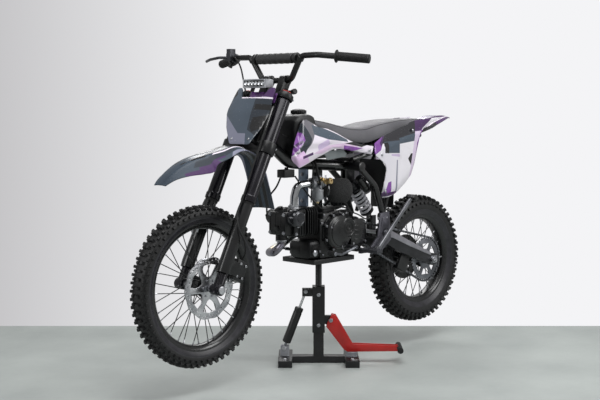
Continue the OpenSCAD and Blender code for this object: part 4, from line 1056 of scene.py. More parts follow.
# number plate, lamp, front fender
def flatPanel(name, outline, step, finish):
    # outline in millimetres cut into a grid, lying in XZ with its face to the left
    work = bmesh.new()
    work.faces.new([work.verts.new(point(x, 0, z)) for x, z in outline])
    for axis in (0, 2):
        values = [v.co[axis] for v in work.verts]
        low, high = min(values), max(values)
        cut = low + step * 0.001
        while cut < high - 0.0005:
            normal = Vector((1, 0, 0)) if axis == 0 else Vector((0, 0, 1))
            everything = work.verts[:] + work.edges[:] + work.faces[:]
            bmesh.ops.bisect_plane(work, geom=everything, plane_co=normal * cut, plane_no=normal)
            cut += step * 0.001
    bmesh.ops.remove_doubles(work, verts=work.verts, dist=1e-5)
    bmesh.ops.triangulate(work, faces=[f for f in work.faces if len(f.verts) > 4])
    mesh = bpy.data.meshes.new(name)
    work.normal_update()
    if work.faces[:] and sum(f.normal.y * f.calc_area() for f in work.faces) < 0:
        bmesh.ops.reverse_faces(work, faces=work.faces)
    work.to_mesh(mesh)
    work.free()
    return newObject(name, mesh, finish)


def shelled(piece, thick, edge=0.8):
    # wall behind a surface, with rounded rims
    wall = piece.modifiers.new("wall", "SOLIDIFY")
    wall.thickness = thick * 0.001
    wall.offset = -1
    return addBevel(piece, edge * 0.001, 2, 50)


plateSettings = {"thick": 3.6, "bend": 9, "depth": [(520, 50), (560, 56), (650, 68), (700, 68), (750, 63)]}
half = [(0, 526), (40, 526), (52, 529), (58, 538), (92, 590), (110, 640), (110.5, 662), (104, 690), (99, 736),
        (93, 747), (78, 747), (68, 738), (58, 712), (50, 706), (0, 704)]
outline = half + [(-x, z) for x, z in reversed(half[1:-1])]
toFork = {"Rotation": (0, rake, 0), "Location": tuple(-(Matrix.Rotation(rake, 3, "Y") @ frontAxle))}
finishes["plate"] = graphics("plateGraphics", ("414d5a", "4c5866"), [
    ("smoke", [(-140, 662), (-15, 564), (-15, 510), (-60, 510)]),
    ("smoke", [(-60, 510), (-20, 566), (22, 566), (34, 510)]),
    ("slateDark", [(26, 700), (130, 700), (130, 640), (70, 560), (26, 580)]),
    ("black", [(34, 678), (130, 678), (130, 656), (34, 656)]),
    ("black", [(40, 626), (120, 640), (96, 590), (50, 572), (36, 590)]),
    ("black", [(-112, 742), (-96, 742), (-84, 716), (-98, 702)]),
    ("black", [(-116, 668), (-108, 692), (-102, 690), (-107, 662)]),
    ("plum", [(44, 707), (130, 707), (130, 760), (44, 760)]),
    # white band along the top edge of the plate's face: a painted highlight
    ("white", [(-50, 700.5), (104, 700.5), (104, 707), (-50, 707)]),
], axes="yz", mapping=toFork)


def heightAt(line, x):
    line = sorted(line)
    x = min(max(x, line[0][0]), line[-1][0])
    for (ax, az), (bx, bz) in zip(line, line[1:]):
        if ax <= x <= bx:
            return az + (bz - az) * (x - ax) / max(1e-6, bx - ax)
    return line[-1][1]


piece = flatPanel("numberPlate", outline, 10, "plate")
for v in piece.data.vertices:
    y, z = v.co.x * 1000, v.co.z * 1000
    x = heightAt(plateSettings["depth"], z) - plateSettings["bend"] * (abs(y) / 110) ** 2.4
    v.co = forkSpace @ point(x, -y, z)
piece = shelled(piece, plateSettings["thick"])
finishes["plum"] = surface("plumPlastic", "6a3a82", "3d214e", 0.26, 0, 1500, 0.05, coat=0.4, patches=40)
shelf = [point(50 - 14 * (abs(y) / 100) ** 2, y, z) for z in (696, 735) for y in range(-34, 101, 8)]
row = len(shelf) // 2
shelfFaces = [(i, i + 1, row + i + 1, row + i) for i in range(row - 1)]
shelf = shelled(meshFrom("plateShelf", [forkSpace @ p for p in shelf], shelfFaces, "plum"), 3)
settle(shelf, "steering", "bodywork")
brackets = []
for side in sides:
    for y, z in ((56, 730), (50, 540)):
        brackets.append(block("bracket", (12.5, side * y - 8, z), (47, side * y + 8, z + 11), "plasticBlack", 1.5,
                              forkSpace))
assemble("plateBrackets", brackets, "steering", "black_plastic")
settle(piece, "steering", "bodywork", "number_plate", angle=45)
plateBolts = [(spotOn(forkSpace, point(x, y, z)), tuple(forkSpace.to_3x3() @ Vector((1, 0, 0))), 0.9)
              for x, y, z in ((56.6, 84, 722), (56.6, -84, 722), (52.4, 44, 546), (52.4, -44, 546))]
fasten("plateBolts", panScrew, plateBolts, "steering")

lampSettings = {"low": (frontAxle.x * 1000 - 313, -58, frontAxle.z * 1000 + 694), "size": (48, 116, 32), "lights": 6,
                "pitch": 17.5}
lx, ly, lz = lampSettings["low"]
dx, dy, dz = lampSettings["size"]
body = block("body", (lx + 10, ly, lz), (lx + dx - 5, ly + dy, lz + dz), "castAlloy", 2.5)
bezel = plate("bezel", [[(-58, -16), (58, -16), (58, 16), (-58, 16)], [(-52, -11), (52, -11), (52, 11), (-52, 11)]],
              6, "castAlloy", crosswise(lx + dx - 3.4, 0, lz + dz / 2), edge=1.4)
coolers = [block("cooler", (lx, ly + 6 + k * 8.6, lz + 2), (lx + 12, ly + 8.4 + k * 8.6, lz + dz - 2), "castAlloy",
                 0.6) for k in range(13)]
assemble("lightBar", [body, bezel] + coolers, "steering", "cast_alloy", "light_bar")
recess = block("lightRecess", (lx + dx - 6.4, -51.6, lz + dz / 2 - 10.6), (lx + dx - 4.7, 51.6, lz + dz / 2 + 10.6),
               "plasticBlack", 0.3)
settle(recess, "steering", "black_plastic")
lens = template(joined("lens", [
    lathe("cup", [(0, 0), (7.6, 0), (8, 2.2), (7.2, 2.6), (4.4, 1.2), (0, 1.0)], "chrome", steps=20)]))
dome = template(lathe("dome", [(0, 1), (3.9, 1), (3.5, 2.6), (2.2, 3.7), (0, 4.1)], "lens", steps=16))
spots = [facing(point(lx + dx - 5.2, -43.7 + k * lampSettings["pitch"], lz + dz / 2), (1, 0, 0))
         for k in range(lampSettings["lights"])]
settle(scatter("lightCups", lens, spots, "chrome"), "steering", "cast_alloy")
settle(scatter("lightDomes", dome, spots, "lens"), "steering", "cast_alloy")
legs = [block("leg", (33.7, side * 40 - 5, 722), (45.6, side * 40 + 5, 776), "plasticBlack", 1.2, forkSpace)
        for side in sides]
assemble("lightLegs", legs, "steering", "black_plastic")


def archedSheet(name, stations, finish, place, thick, ridge=0.0, steps=32, smoothBy=10):
    # stations of (along, height, half width, sag), drawn smooth between them
    dense = curved([Vector((a, z, w)) for a, z, w, s in stations], smoothBy)
    sags = curved([Vector((s, 0, 0)) for a, z, w, s in stations], smoothBy)
    corners, faces, shares = [], [], []
    last = len(dense) - 1
    for i, (at, sag) in enumerate(zip(dense, sags)):
        before, after = dense[max(0, i - 1)], dense[min(last, i + 1)]
        normal = Vector((after.y - before.y, before.x - after.x)).normalized()
        for j in range(-steps, steps + 1):
            t = j / steps
            near = min(1, abs(abs(t) - 0.45) / 0.3)
            crest = ridge * (0.5 + 0.5 * math.cos(math.pi * near)) * math.sin(math.pi * i / last)
            drop = sag.x * abs(t) ** 2.2 - crest
            corners.append(place @ point(at.x - normal.x * drop, at.z * t, at.y - normal.y * drop))
            shares.append(t * 0.1)
    width = 2 * steps + 1
    for i in range(last):
        for j in range(width - 1):
            a = i * width + j
            faces.append((a, a + 1, a + 1 + width, a + width))
    mesh = bpy.data.meshes.new(name)
    mesh.from_pydata([tuple(c) for c in corners], [], faces)
    mesh.attributes.new("across", "FLOAT", "POINT").data.foreach_set("value", shares)
    return shelled(newObject(name, mesh, finish), thick)


finishes["fender"] = graphics("fenderGraphics", ("333e4a", "3e4a57"), [
    ("black", [(600, 18), (500, 14), (200, 14), (200, 46), (560, 46), (620, 30)]),
    ("smoke", [(480, 80), (352, 70), (260, 130), (520, 130)]),
    ("slateDark", [(640, 52), (470, 58), (440, 74), (560, 84), (660, 72)]),
    # two white strips below the black band: a painted reflection
    ("white", [(556, 47), (500, 50), (506, 57), (566, 54)]),
    ("white", [(500, 50), (365, 50), (365, 55), (506, 57)]),
    ("black", [(660, 26), (600, 32), (590, 48), (650, 42)]),
    ("black", [(690, 16), (670, 20), (665, 34), (688, 28)]),
    ("452458", [(700, 84), (560, 86), (530, 130), (700, 130)]),
    ("plum", [(640, 76), (520, 78), (520, 86), (640, 86)]),
], axes="xt", fold=True, coat=0.05, specular=0.35, dull=0.4)
fenderStations = [(318, 250, 30, 2), (304, 294, 50, 16), (274, 346, 66, 40), (238, 386, 73, 54), (205, 413, 74, 56),
                  (184, 428, 71, 34), (140, 460, 68, 26), (90, 498, 60, 16), (40, 511.5, 56, 6), (-24, 511.5, 54, 4),
                  (-74, 478, 54, 6), (-125, 428, 56, 8), (-175, 373, 58, 8)]
fender = archedSheet("frontFender", fenderStations, "fender", forkSpace, 3.4, ridge=5)
settle(fender, "steering", "bodywork", "front_fender", angle=50)
print("front bodywork made")


# tank, shrouds, side panels, tail
def leaned(piece, inward):
    # each point moves inwards along the line from the camera's place, so that the outline holds
    for v in piece.data.vertices:
        d = inward(v.co * 1000)
        if d > 0:
            way = (v.co - Vector(cameraPlace["at"])).normalized()
            v.co += way * (d * 0.001 / abs(way.y))
    return piece


shroudSettings = {"front": (273, 134), "turn": 3.2, "thick": 3.6,
                  "top": [(234, 919), (207, 955), (177, 951), (123, 926), (69, 920), (14, 904), (-71, 871),
                          (-129, 858), (-214, 848)],
                  "low": [(260, 815), (229, 781), (166, 801), (85, 827), (30, 844), (-10, 843), (-84, 833),
                          (-200, 815)]}
shroudOutline = [(207, 955), (222, 940), (236, 916), (252, 880), (264, 846), (272, 814), (262, 803), (229, 781),
                 (200, 789), (166, 801), (125, 816), (85, 828), (55, 838), (30, 843), (-10, 843), (-84, 833),
                 (-200, 815), (-208, 828), (-213, 847), (-129, 858), (-71, 871), (-30, 886), (14, 903), (69, 920),
                 (123, 927), (160, 944), (190, 956)]
sidePanelSettings = {"front": (-222, 106), "turn": 2, "thick": 3.6,
                     "top": [(-222, 860), (-291, 895), (-385, 922), (-481, 945), (-560, 952), (-671, 957)],
                     "low": [(-222, 813), (-262, 700), (-300, 645), (-372, 662), (-460, 724), (-500, 824),
                             (-545, 913), (-671, 950)]}
sidePanelOutline = [(-222, 860), (-222, 822), (-232, 808), (-270, 788), (-287, 777), (-297, 762), (-299, 748),
                    (-290, 712), (-264, 655), (-264, 646), (-274, 641), (-312, 642), (-345, 650), (-372, 662),
                    (-420, 692), (-460, 724), (-484, 772), (-500, 824), (-520, 881), (-545, 913), (-600, 934),
                    (-668, 952), (-671, 957), (-560, 952), (-481, 945), (-385, 922), (-291, 895)]


def onPlane(settings):
    x, y = settings["front"]
    return shift(x, y, 0) @ Matrix.Rotation(math.radians(settings["turn"]), 4, "Z") @ shift(-x, 0, 0)


def panelPair(name, outline, settings, finish, inward):
    panel = moved(flatPanel(name, outline, 9, finish), onPlane(settings))
    panel = shelled(leaned(panel, inward), settings["thick"])
    left = baked(panel)
    return joined(name, [left, mirrored(left, name + "Right")])


def shroudLean(at):
    high, low = heightAt(shroudSettings["top"], at.x), heightAt(shroudSettings["low"], at.x)
    share = (at.z - low) / max(20, high - low)
    tuck = heightAt([(-214, 6), (-71, 10), (14, 22), (69, 34), (123, 46), (207, 52)], at.x)
    rise = max(0, min(1, (share - 0.42) / 0.58))
    flare = 5 * max(0, 1 - abs(share - 0.32) / 0.12)
    lip = 7 * max(0, 1 - share / 0.14)
    front = 10 * max(0, (at.x - 225) / 48) ** 2
    return tuck * rise ** 1.6 + lip + front + flare * (at.x > -150)


def panelLean(at):
    high, low = heightAt(sidePanelSettings["top"], at.x), heightAt(sidePanelSettings["low"], at.x)
    share = (at.z - low) / max(20, high - low)
    crease = 4 * max(0, 1 - abs(at.x + 375 + (at.z - 700) * 0.12) / 14) * (at.z < 800)
    step = 5 * max(0, min(1, (at.z - (at.x * -0.25 + 770)) / 6))
    broad = min(1, max(0, high - low - 12) / 60)
    return broad * 6 * (max(0, (share - 0.75) / 0.25) ** 2 + max(0, 1 - (at.z - low) / 18)) + crease + step


settle(panelPair("tankShrouds", shroudOutline, shroudSettings, "shroud", shroudLean), "chassis", "bodywork",
       "tank_shrouds", angle=45)
settle(panelPair("sidePanels", sidePanelOutline, sidePanelSettings, "sidePanel", panelLean), "chassis", "bodywork",
       "side_panels", angle=45)
panelScrews = bothSides([((236, 133.5, 836), (0, 1, 0), 1.1), ((-186, 110.5, 832), (0, 1, 0), 1.1),
                         ((-268, 105, 812), (0, 1, 0), 1.1), ((-292, 104, 664), (0, 1, 0), 1.1),
                         ((-470, 98, 905), (0, 1, 0), 1.1)])
fasten("panelScrews", panScrew, panelScrews)
lugs = [block("lug", (144, y, 893), (158, y + 46, 907), "plasticBlack", 2) for y in (60, -106)]
assemble("shroudLugs", lugs, "chassis", "black_plastic")

tankOutline = [(170, 822), (186, 880), (188, 925), (180, 952), (162, 968), (140, 974), (100, 975), (84, 968),
               (72, 940), (62, 890), (40, 872), (-40, 842), (-42, 806), (120, 806)]
tankMesh = []
for y in (-68, -60, -40, 40, 60, 68):
    shrink = 1 if abs(y) < 50 else (0.97 if abs(y) < 65 else 0.9)
    tankMesh.append([point(70 + (x - 70) * shrink, y, 890 + (z - 890) * shrink) for x, z in tankOutline])
tank = addBevel(lofted("fuelTank", tankMesh, "plasticBlack"), 0.007, 3, 20)
settle(tank, "chassis", "tank_plastic", "fuel_tank", angle=50)
knurl = [polar(30 if k % 4 < 2 else 28.2, 2 * math.pi * k / 96) for k in range(96)]
capPlace = shift(98, 0, -24)
cap = joined("fuelCap", [plate("knurl", [knurl], 13, "plasticBlack", capPlace @ shift(0, 0, 1006), edge=1.2),
                         lathe("lid", [(0, 998.4), (25, 998.4), (25, 1012), (23, 1015), (12, 1017.5), (0, 1018)],
                               "plasticBlack", capPlace, 48)])
settle(cap, "chassis", "black_plastic", "fuel_cap")

shelfAt = [(36, 832), (-70, 838), (-96, 822), (-92, 810), (14, 800)]
settle(plate("tankShelf", [shelfAt], 4, "paleGrey", upright(70)), "chassis", "tank_plastic")
finishes["tail"] = graphics("tailGraphics", ("b9b2cb", "c9c3d8"), [
    ("plum", [(-540, 24), (-840, 36), (-840, 130), (-540, 130)]),
    ("charcoal", [(-340, 50), (-560, 62), (-660, 80), (-660, 130), (-340, 130)]),
    ("white", [(-560, 76), (-700, 70), (-700, 80), (-560, 86)]),
    ("white", [(-700, 70), (-840, 66), (-840, 78), (-700, 80)]),
], axes="xt", fold=True, coat=0.3, dull=0.2)
tailStations = [(-360, 888, 50, 14), (-450, 912, 76, 38), (-540, 926, 77, 34), (-612, 936, 78, 26),
                (-650, 950, 78, 26), (-710, 960, 72, 18), (-770, 962, 54, 8), (-818, 955, 26, 3)]
tail = archedSheet("rearFender", tailStations, "tail", Matrix(), 3.4, ridge=4)
settle(tail, "chassis", "tail_plastic", "rear_fender", angle=50)
refit("inner_fender", "innerFender", "plasticBlack", "chassis", "black_plastic", 0.0008)

# seat
seatSettings = {
    "crown": 3.2, "piping": 0.62, "section": 22,
    # each along, top, half width, side height, underside
    "stations": [(78, 958, 40, 940, 924), (60, 955, 56, 930, 912), (0, 946, 78, 906, 892), (-60, 934, 90, 882, 872),
                 (-120, 926, 94, 868, 864), (-195, 925, 95, 866, 862), (-255, 935, 95, 884, 876),
                 (-316, 943, 94, 901, 888), (-411, 950, 90, 924, 912), (-541, 952, 84, 938, 929),
                 (-606, 949, 74, 942, 938)],
}
dense = curved([Vector(s[:3]) for s in seatSettings["stations"]], 6)
lows = curved([Vector((s[3], s[4], 0)) for s in seatSettings["stations"]], 6)
section = seatSettings["section"]
rings = []
for at, low in zip(dense, lows):
    x, top, wide = at
    side, under = low.x, low.y
    ring = []
    for k in range(section + 1):
        t = -1 + 2 * k / section
        drop = (top - side) * abs(t) ** seatSettings["crown"]
        ring.append(point(x, wide * math.sin(t * math.pi / 2), top - drop))
    for t in (0.98, 0.5, 0, -0.5, -0.98):
        ring.append(point(x, wide * t, under))
    rings.append(ring)
seat = addBevel(lofted("seatPad", rings, "seatVinyl"), 0.004, 3, 50)
seat = settle(seat, "chassis", "seat_cover", "seat", angle=60)
seams = []  # one line of piping on each side
for side in sides:
    t = seatSettings["piping"]
    line = [point(at.x, side * at.z * math.sin(t * math.pi / 2), at.y - (at.y - low.x) * t ** seatSettings["crown"]
                  + 0.2)
            for at, low in zip(dense[2:-2], lows[2:-2])]
    seams.append(tube("seam", line, 1.1, "seatSeam", 8))
assemble("seatPiping", seams, "chassis", "seat_cover", angle=60)
print("seat and tail made")


# frame, swing arm and shock
mainFrame = tint(softened("main_frame", "mainFrame", "frameBlack", 0.0014), "pivotGrey",
                 lambda c: abs(c.y) > 0.096 and -0.33 < c.x < -0.204 and 0.42 < c.z < 0.587)
mainFrame = tint(mainFrame, "hangerBlue", lambda c: 0.04 < c.x < 0.064 and 0.625 < c.z < 0.78 and abs(c.y) < 0.04)
settle(mainFrame, "chassis", "frame_black", "main_frame")
refit("rear_subframe", "rearSubframe", "frameBlack", "chassis", "frame_black", 0.0008)
rib = [(-318, 566), (-296, 572), (-272, 560), (-262, 500), (-250, 484), (-218, 450), (-218, 434), (-252, 436),
       (-306, 478)]
plates = []
for side in sides:
    at = upright(side * 105.2)
    hole = [(-290 + 21 * math.cos(a * math.pi / 16), 500 + 21 * math.sin(a * math.pi / 16)) for a in range(32)]
    plates.append(plate("rib", [rib, hole], 2.6, "pivotGrey", at, edge=0.9))
assemble("pivotRibs", plates, "chassis", "frame_black")
frameBolts = bothSides([((-250, 103, 560), (0, 1, 0), 0.9), ((-300, 103, 560), (0, 1, 0), 0.9),
                        ((-216, 103, 430), (0, 1, 0), 0.7)])
frameBolts += [((64, -16, 744), (1, 0, 0), 1.0), ((64, -16, 644), (1, 0, 0), 1.0), ((-15, -16, 640), (1, 0, 0), 1.0)]
fasten("frameBolts", hexBolt, frameBolts)

arm = softened("swing_arm", "swingArm", "armGrey", 0.0035, 3)
settle(arm, "chassis", "arm_grey", "swing_arm", angle=30)
ends = []
axleAt = rearAxle * 1000
# light plates along the upper sides of the swing arm: a painted highlight
armHighlightOutline = [(-306, 511), (-330, 508), (-460, 452), (-600, 391), (-600, 379), (-460, 430), (-350, 474), (-306, 484)]
highlightStrips = [plate("strip", [armHighlightOutline], 2.4, "armTop", upright(side * 96.4), edge=1) for side in sides]
assemble("armStrips", highlightStrips, "chassis", "arm_grey")
for side in sides:
    ends.append(block("adjuster", (axleAt.x - 30, side * 96.1 - 0.6, axleAt.z - 15),
                      (axleAt.x + 12, side * 96.1 + 0.9, axleAt.z + 17), "steel", 0.6))
    ends.append(lathe("screw", [(0, 0), (3, 0), (3, 30), (2.4, 31), (0, 31)], "bolt",
                      facing(point(axleAt.x - 44, side * 85, axleAt.z + 4), (-1, 0, 0.05)), 12))
    ends.append(lathe("nut", [(3, 0), (6, 0), (6, 4), (5.2, 5), (3, 5)], "bolt",
                      facing(point(axleAt.x - 47, side * 85, axleAt.z + 4), (-1, 0, 0.05)), 6, ring=True))
assemble("chainAdjusters", ends, "chassis", "bolt_steel")
refit("pivot_bolt", "pivotBolt", "bolt", "chassis", "bolt_steel", 0.001)
refit("rear_axle", "rearAxle", "bolt", "chassis", "bolt_steel", 0.001)
axleNuts = []
for at, y in ((point(-290, 0, 500), 112.6), (rearAxle, 106.4)):
    for side in sides:
        place = facing(at + point(0, side * y, 0), (0, side, 0))
        axleNuts.append(lathe("hex", [(0, 0), (11, 0), (11, 5), (9.6, 7), (5.6, 7), (5.4, 9), (0, 9)], "bolt", place,
                              6))
assemble("axleNuts", axleNuts, "chassis", "bolt_steel")
refit("chain_guide", "chainGuide", "plasticBlack", "chassis", "black_plastic", 0.002)

shockSettings = {"top": (-190, 0, 716), "low": (-326, 0, 546), "wire": 5, "coil": 23, "turns": 6, "from": 56.3,
                 "until": 46.3}
shockTop, shockLow = point(*shockSettings["top"]), point(*shockSettings["low"])
shockWay = (shockLow - shockTop).normalized()
shockLong = (shockLow - shockTop).length * 1000
onShock = facing(shockTop, shockWay)
parts = [
    lathe("rod", [(0, 0), (7, 0), (7, shockLong), (0, shockLong)], "chrome", onShock, 24),
    lathe("head", [(7, 14), (17, 14), (20, 18), (22, 22), (22, 28), (20, 30), (20, 34), (22, 36), (22, 46), (23, 47),
                   (28, 49), (28, 55), (26.4, 56.2), (8, 56.2)], "armGrey", onShock, 48, ring=True),
    lathe("cylinder", [(0, 56), (15, 56), (15, 128), (13, 130), (0, 130)], "frameBlack", onShock, 32),
    lathe("seat", [(7, shockLong - 46), (26.5, shockLong - 46), (28, shockLong - 44.6), (28, shockLong - 40),
                   (25, shockLong - 38), (7, shockLong - 38)], "armGrey", onShock, 48, ring=True),
    lathe("bump", [(7, shockLong - 62), (11, shockLong - 62), (13, shockLong - 58), (13, shockLong - 50),
                   (15, shockLong - 46), (7, shockLong - 46)], "rubber", onShock, 24, ring=True),
    lathe("eyeTop", [(0, -8), (11.8, -8), (13, -6.8), (13, 6.8), (11.8, 8), (0, 8)], "armGrey",
          facing(shockTop, (0, 1, 0)), 32),
    lathe("eyeLow", [(0, -8), (10.8, -8), (12, -6.8), (12, 6.8), (10.8, 8), (0, 8)], "armGrey",
          facing(shockLow, (0, 1, 0)), 32),
    block("yokeTop", (-6, -7.6, 8), (6, 7.6, 22), "armGrey", 2, onShock),
]
canFrom, canTo = shockTop + point(0, 50, 8), shockTop + point(-50, 50, -44)
canLong = (canTo - canFrom).length * 1000
onCan = facing(canFrom, canTo - canFrom)
parts += [lathe("can", [(0, 0), (13, 0), (16, 2.4), (16, 10), (15, 11), (15, 13), (16, 14), (16, canLong - 3),
                        (14.6, canLong), (0, canLong)], "coverBlack", onCan, 40),
          lathe("canRing", [(15.9, canLong - 22), (17.2, canLong - 21.4), (17.2, canLong - 13),
                            (15.9, canLong - 12.4)], "frameBlack", onCan, 40, ring=True),
          tube("bridge", [shockTop + shockWay * 0.034, shockTop + point(-36, 50, -30)], 9, "armGrey", 20)]
assemble("rearShock", parts, "chassis", "shock_body", "rear_shock")
coilRoute = []
turns = shockSettings["turns"]
coilFrom, coilTo = shockSettings["from"] + 3.6, shockLong - shockSettings["until"] - 3.6
for k in range(int(turns * 30) + 1):
    t = k / (turns * 30)
    end = min(t, 1 - t)  # the coils lie closer at both ends
    ease = t
    if end <= 0.08:
        ease = end * end / 0.08 * 0.5 + end * 0.5
        ease = ease if t < 0.5 else 1 - ease
    a = 2 * math.pi * turns * t
    coilRoute.append(onShock @ point(shockSettings["coil"] * math.cos(a), shockSettings["coil"] * math.sin(a),
            coilFrom + (coilTo - coilFrom) * ease))
settle(tube("shockSpring", coilRoute, shockSettings["wire"], "springWhite", 16), "chassis", "spring_white",
       "shock_spring", angle=60)
print("frame and shock made")

# engine
leftWay, rightWay = (0, 1, 0), (0, -1, 0)


def ringOf(x, z, y, radius, count, size, way, first):
    # fasteners round a centre on one side
    turns = [first + 2 * math.pi * k / count for k in range(count)]
    return [((x + radius * math.cos(a), y, z + radius * math.sin(a)), way, size) for a in turns]


case = [block("case", low, high, "engineBlack", edge) for low, high, edge in (
    ((-125, -62, 422.3), (44, 62, 578), 10), ((-110, -62, 470), (30, 62, 598), 9), ((-206, -62, 440), (-110, 46, 568),
        12),
    ((-70, -34, 580), (0, 34, 619), 8), ((20, -58, 422.3), (96, 58, 496.3), 20))]
assemble("crankcase", case, "chassis", "engine_black", "crankcase")
caseParts = []
sumpRibs = {"count": 6, "first": 48, "pitch": 7, "y": 58.4}
for k in range(sumpRibs["count"]):
    for side in sides:
        x, y = sumpRibs["first"] + k * sumpRibs["pitch"], side * sumpRibs["y"]
        caseParts.append(block("rib", (x, y - 1.4, 438), (x + 2.6, y + 1.4, 482), "engineBlack", 0.9))
caseParts += [block("joint", (-204, -1.4, 440), (44, 1.4, 579.6), "engineBlack", 0.5),
              block("joint", (-109, -1.4, 579), (30, 1.4, 599.6), "engineBlack", 0.5),
              block("flange", (95.4, -1.4, 444), (97.6, 1.4, 474), "engineBlack", 0.5),
              lathe("drain", [(0, 0), (13, 0), (13, 3), (9, 5), (0, 5)], "bolt",
                    facing(point(68, 57.8, 448), leftWay), 6),
              lathe("filler", [(0, 0), (15, 0), (15, 4), (12.6, 5), (12.6, 12), (11, 14), (0, 14)], "coverBlack",
                    facing(point(18, -61, 590), (0, -0.6, 1)), 24)]
assemble("caseParts", caseParts, "chassis", "engine_black")
caseBolts = bothSides([((42, 57.8, 452), leftWay, 0.9), ((36, 61.8, 560), leftWay, 0.9),
                       ((30, 61.8, 438), leftWay, 0.9), ((-110, 61.8, 440), leftWay, 0.9),
                       ((-118, 61.8, 570), leftWay, 0.9), ((24, 61.8, 590), leftWay, 0.9),
                       ((-102, 61.8, 590), leftWay, 0.9)])
fasten("caseBolts", capBolt, caseBolts)

leftCover, rightCover = facing(point(-40, 0, 522), leftWay), facing(point(-52, 0, 518), rightWay)
covers = [
    lathe("leftCover", [(0, 62.4), (72, 62.4), (72, 66), (71, 67.4), (68.6, 67.4), (68, 69), (66.4, 86), (63, 90.6),
                        (58, 92), (54.4, 92), (52.6, 93), (51.6, 96), (48.5, 97), (30, 97.6), (0, 98)], "coverBlack",
          leftCover, 96),
    lathe("boss", [(0, 62.4), (40, 62.4), (40, 92), (38.6, 96), (36, 98), (33, 98), (32, 96.6), (27, 96.2),
                   (26, 98.4), (22, 98.4), (21, 96.4), (13, 96), (12, 98.6), (7, 98.6), (6, 97), (0, 97)],
          "coverBlack", facing(point(-80, 0, 538), leftWay), 64),
    lathe("rightCover", [(0, 62.4), (74, 62.4), (74, 66), (73, 67.4), (70.6, 67.4), (70, 69), (68.4, 86), (65, 90.8),
                         (60, 92), (52, 92), (50.6, 93), (49.6, 96), (46.5, 98), (40, 98), (38.6, 95.4), (14, 94.6),
                         (13, 96.8), (0, 97)], "coverBlack", rightCover, 96),
]
sprocketSide = [(-206, 472), (-198, 461), (-130, 460), (-116, 466), (-115, 540), (-122, 558), (-140, 564),
                (-186, 564), (-204, 552)]
covers += [plate("sprocketCover", [sprocketSide], 16, "coverBlack", upright(71.5), edge=3.2),
           block("coverFoot", (-125, 62.6, 462), (-115, 78, 562), "coverBlack", 1.5)]
for k in range(4):
    covers.append(block("coverRib", (-196, 79, 482 + k * 18), (-134, 81.2, 487 + k * 18), "coverBlack", 1))
assemble("engineCovers", covers, "chassis", "engine_black", "engine_covers", angle=40)
lobes = [facing(point(-40 + 70 * math.cos(a), 68, 522 + 70 * math.sin(a)), leftWay)
         for a in [math.pi * (k / 4 + 0.125) for k in range(8)]]
rightLobes = [facing(point(-52 + 72 * math.cos(a), -68, 518 + 72 * math.sin(a)), rightWay)
              for a in [math.pi * (k / 5 + 0.05) for k in range(10)]]
earTemplate = template(lathe("ear", [(0, -4), (7.4, -4), (7.4, 8.6), (6.6, 9.6), (0, 9.6)], "coverBlack", steps=18))
settle(scatter("coverEars", earTemplate, lobes + rightLobes, "coverBlack"), "chassis", "engine_black")
coverBolts = (ringOf(-40, 522, 77.2, 70, 8, 1.05, leftWay, math.pi / 8)
              + ringOf(-52, 518, -77.2, 72, 10, 1.05, rightWay, math.pi * 0.05)
              + ringOf(-40, 522, 91.6, 57.2, 3, 0.8, leftWay, 0.4)
              + ringOf(-52, 518, -91.4, 56, 4, 0.8, rightWay, 0.4)
              + [((x, 79.2, z), leftWay, 1.0) for x, z in ((-196, 474), (-196, 550), (-126, 470), (-126, 552))])
fasten("coverBolts", capBolt, coverBolts)


def finPlate(name, halfWide, high, corner, thick):
    outline = []
    cornerX, cornerZ = halfWide - corner, high / 2 - corner
    for cx, cz, first in ((cornerX, cornerZ, 0), (-cornerX, cornerZ, 1), (-cornerX, -cornerZ, 2),
                          (cornerX, -cornerZ, 3)):
        outline += [(cx + corner * math.cos((first + k / 5) * math.pi / 2),
                     cz + corner * math.sin((first + k / 5) * math.pi / 2)) for k in range(6)]
    return plate(name, [outline], thick, "engineBlack", edge=0.9)


barrelFin = template(finPlate("barrelFin", 56, 108, 18, 3.2))
headFin = template(finPlate("headFin", 58, 108, 16, 3.2))
assemble("cylinderBarrel", [
    lathe("barrel", [(0, 44.4), (44, 44.4), (44, 49), (42, 50), (42, 111.6), (0, 111.6)], "engineBlack",
          facing(point(0, 0, 568), (1, 0, 0)), 48),
    scatter("fins", barrelFin, [crosswise(53.8 + 12 * k, 0, 568) for k in range(5)], "engineBlack")], "chassis",
         "engine_black", "cylinder_barrel")
onLeft, onRight = facing(point(174, 0, 588), leftWay), facing(point(174, 0, 588), rightWay)
head = [
    block("headBlock", (112.2, -54, 518), (175, 54, 618), "engineBlack", 5),
    block("headEnd", (173, -44, 524), (214.8, 44, 612), "engineBlack", 6),
    scatter("fins", headFin, [crosswise(121.5 + 14 * k, 0, 568) for k in range(3)], "engineBlack"),
    lathe("camCover", [(0, 43), (32, 43), (32, 74), (31, 75.4), (30.4, 78), (28.6, 81), (25, 83), (21, 83.6),
                       (20, 82.2), (12, 82), (11, 84), (0, 84)], "camSilver", onLeft, 64),
    lathe("rightCover", [(0, 43), (28, 43), (28, 70), (27, 72), (24, 76.4), (20, 78), (0, 78)], "engineBlack",
          onRight, 48),
    lathe("valveCap", [(0, -22), (14.6, -22), (16, -20.6), (16, 20.6), (14.6, 22), (0, 22)], "engineBlack",
          facing(point(191, 0, 610), leftWay), 40),
    lathe("valveHex", [(0, 0), (12, 0), (12, 5), (10, 6.4), (0, 6.4)], "engineBlack",
          facing(point(197, 0, 624), (0.3, 0, 1)), 6),
    lathe("valveLow", [(0, 0), (15, 0), (15, 5), (12, 6.4), (0, 6.4)], "engineBlack",
          facing(point(212, 0, 548), (1, 0, -0.4)), 6),
    lathe("inlet", [(0, 616), (20, 616), (22, 617), (22, 626), (21.4, 627), (0, 627)], "castAlloy", shift(145, 20, 0),
          36),
    lathe("outlet", [(0, 506), (21, 506), (22, 507), (22, 526), (0, 526)], "engineBlack", shift(190, 0, 0), 36)]
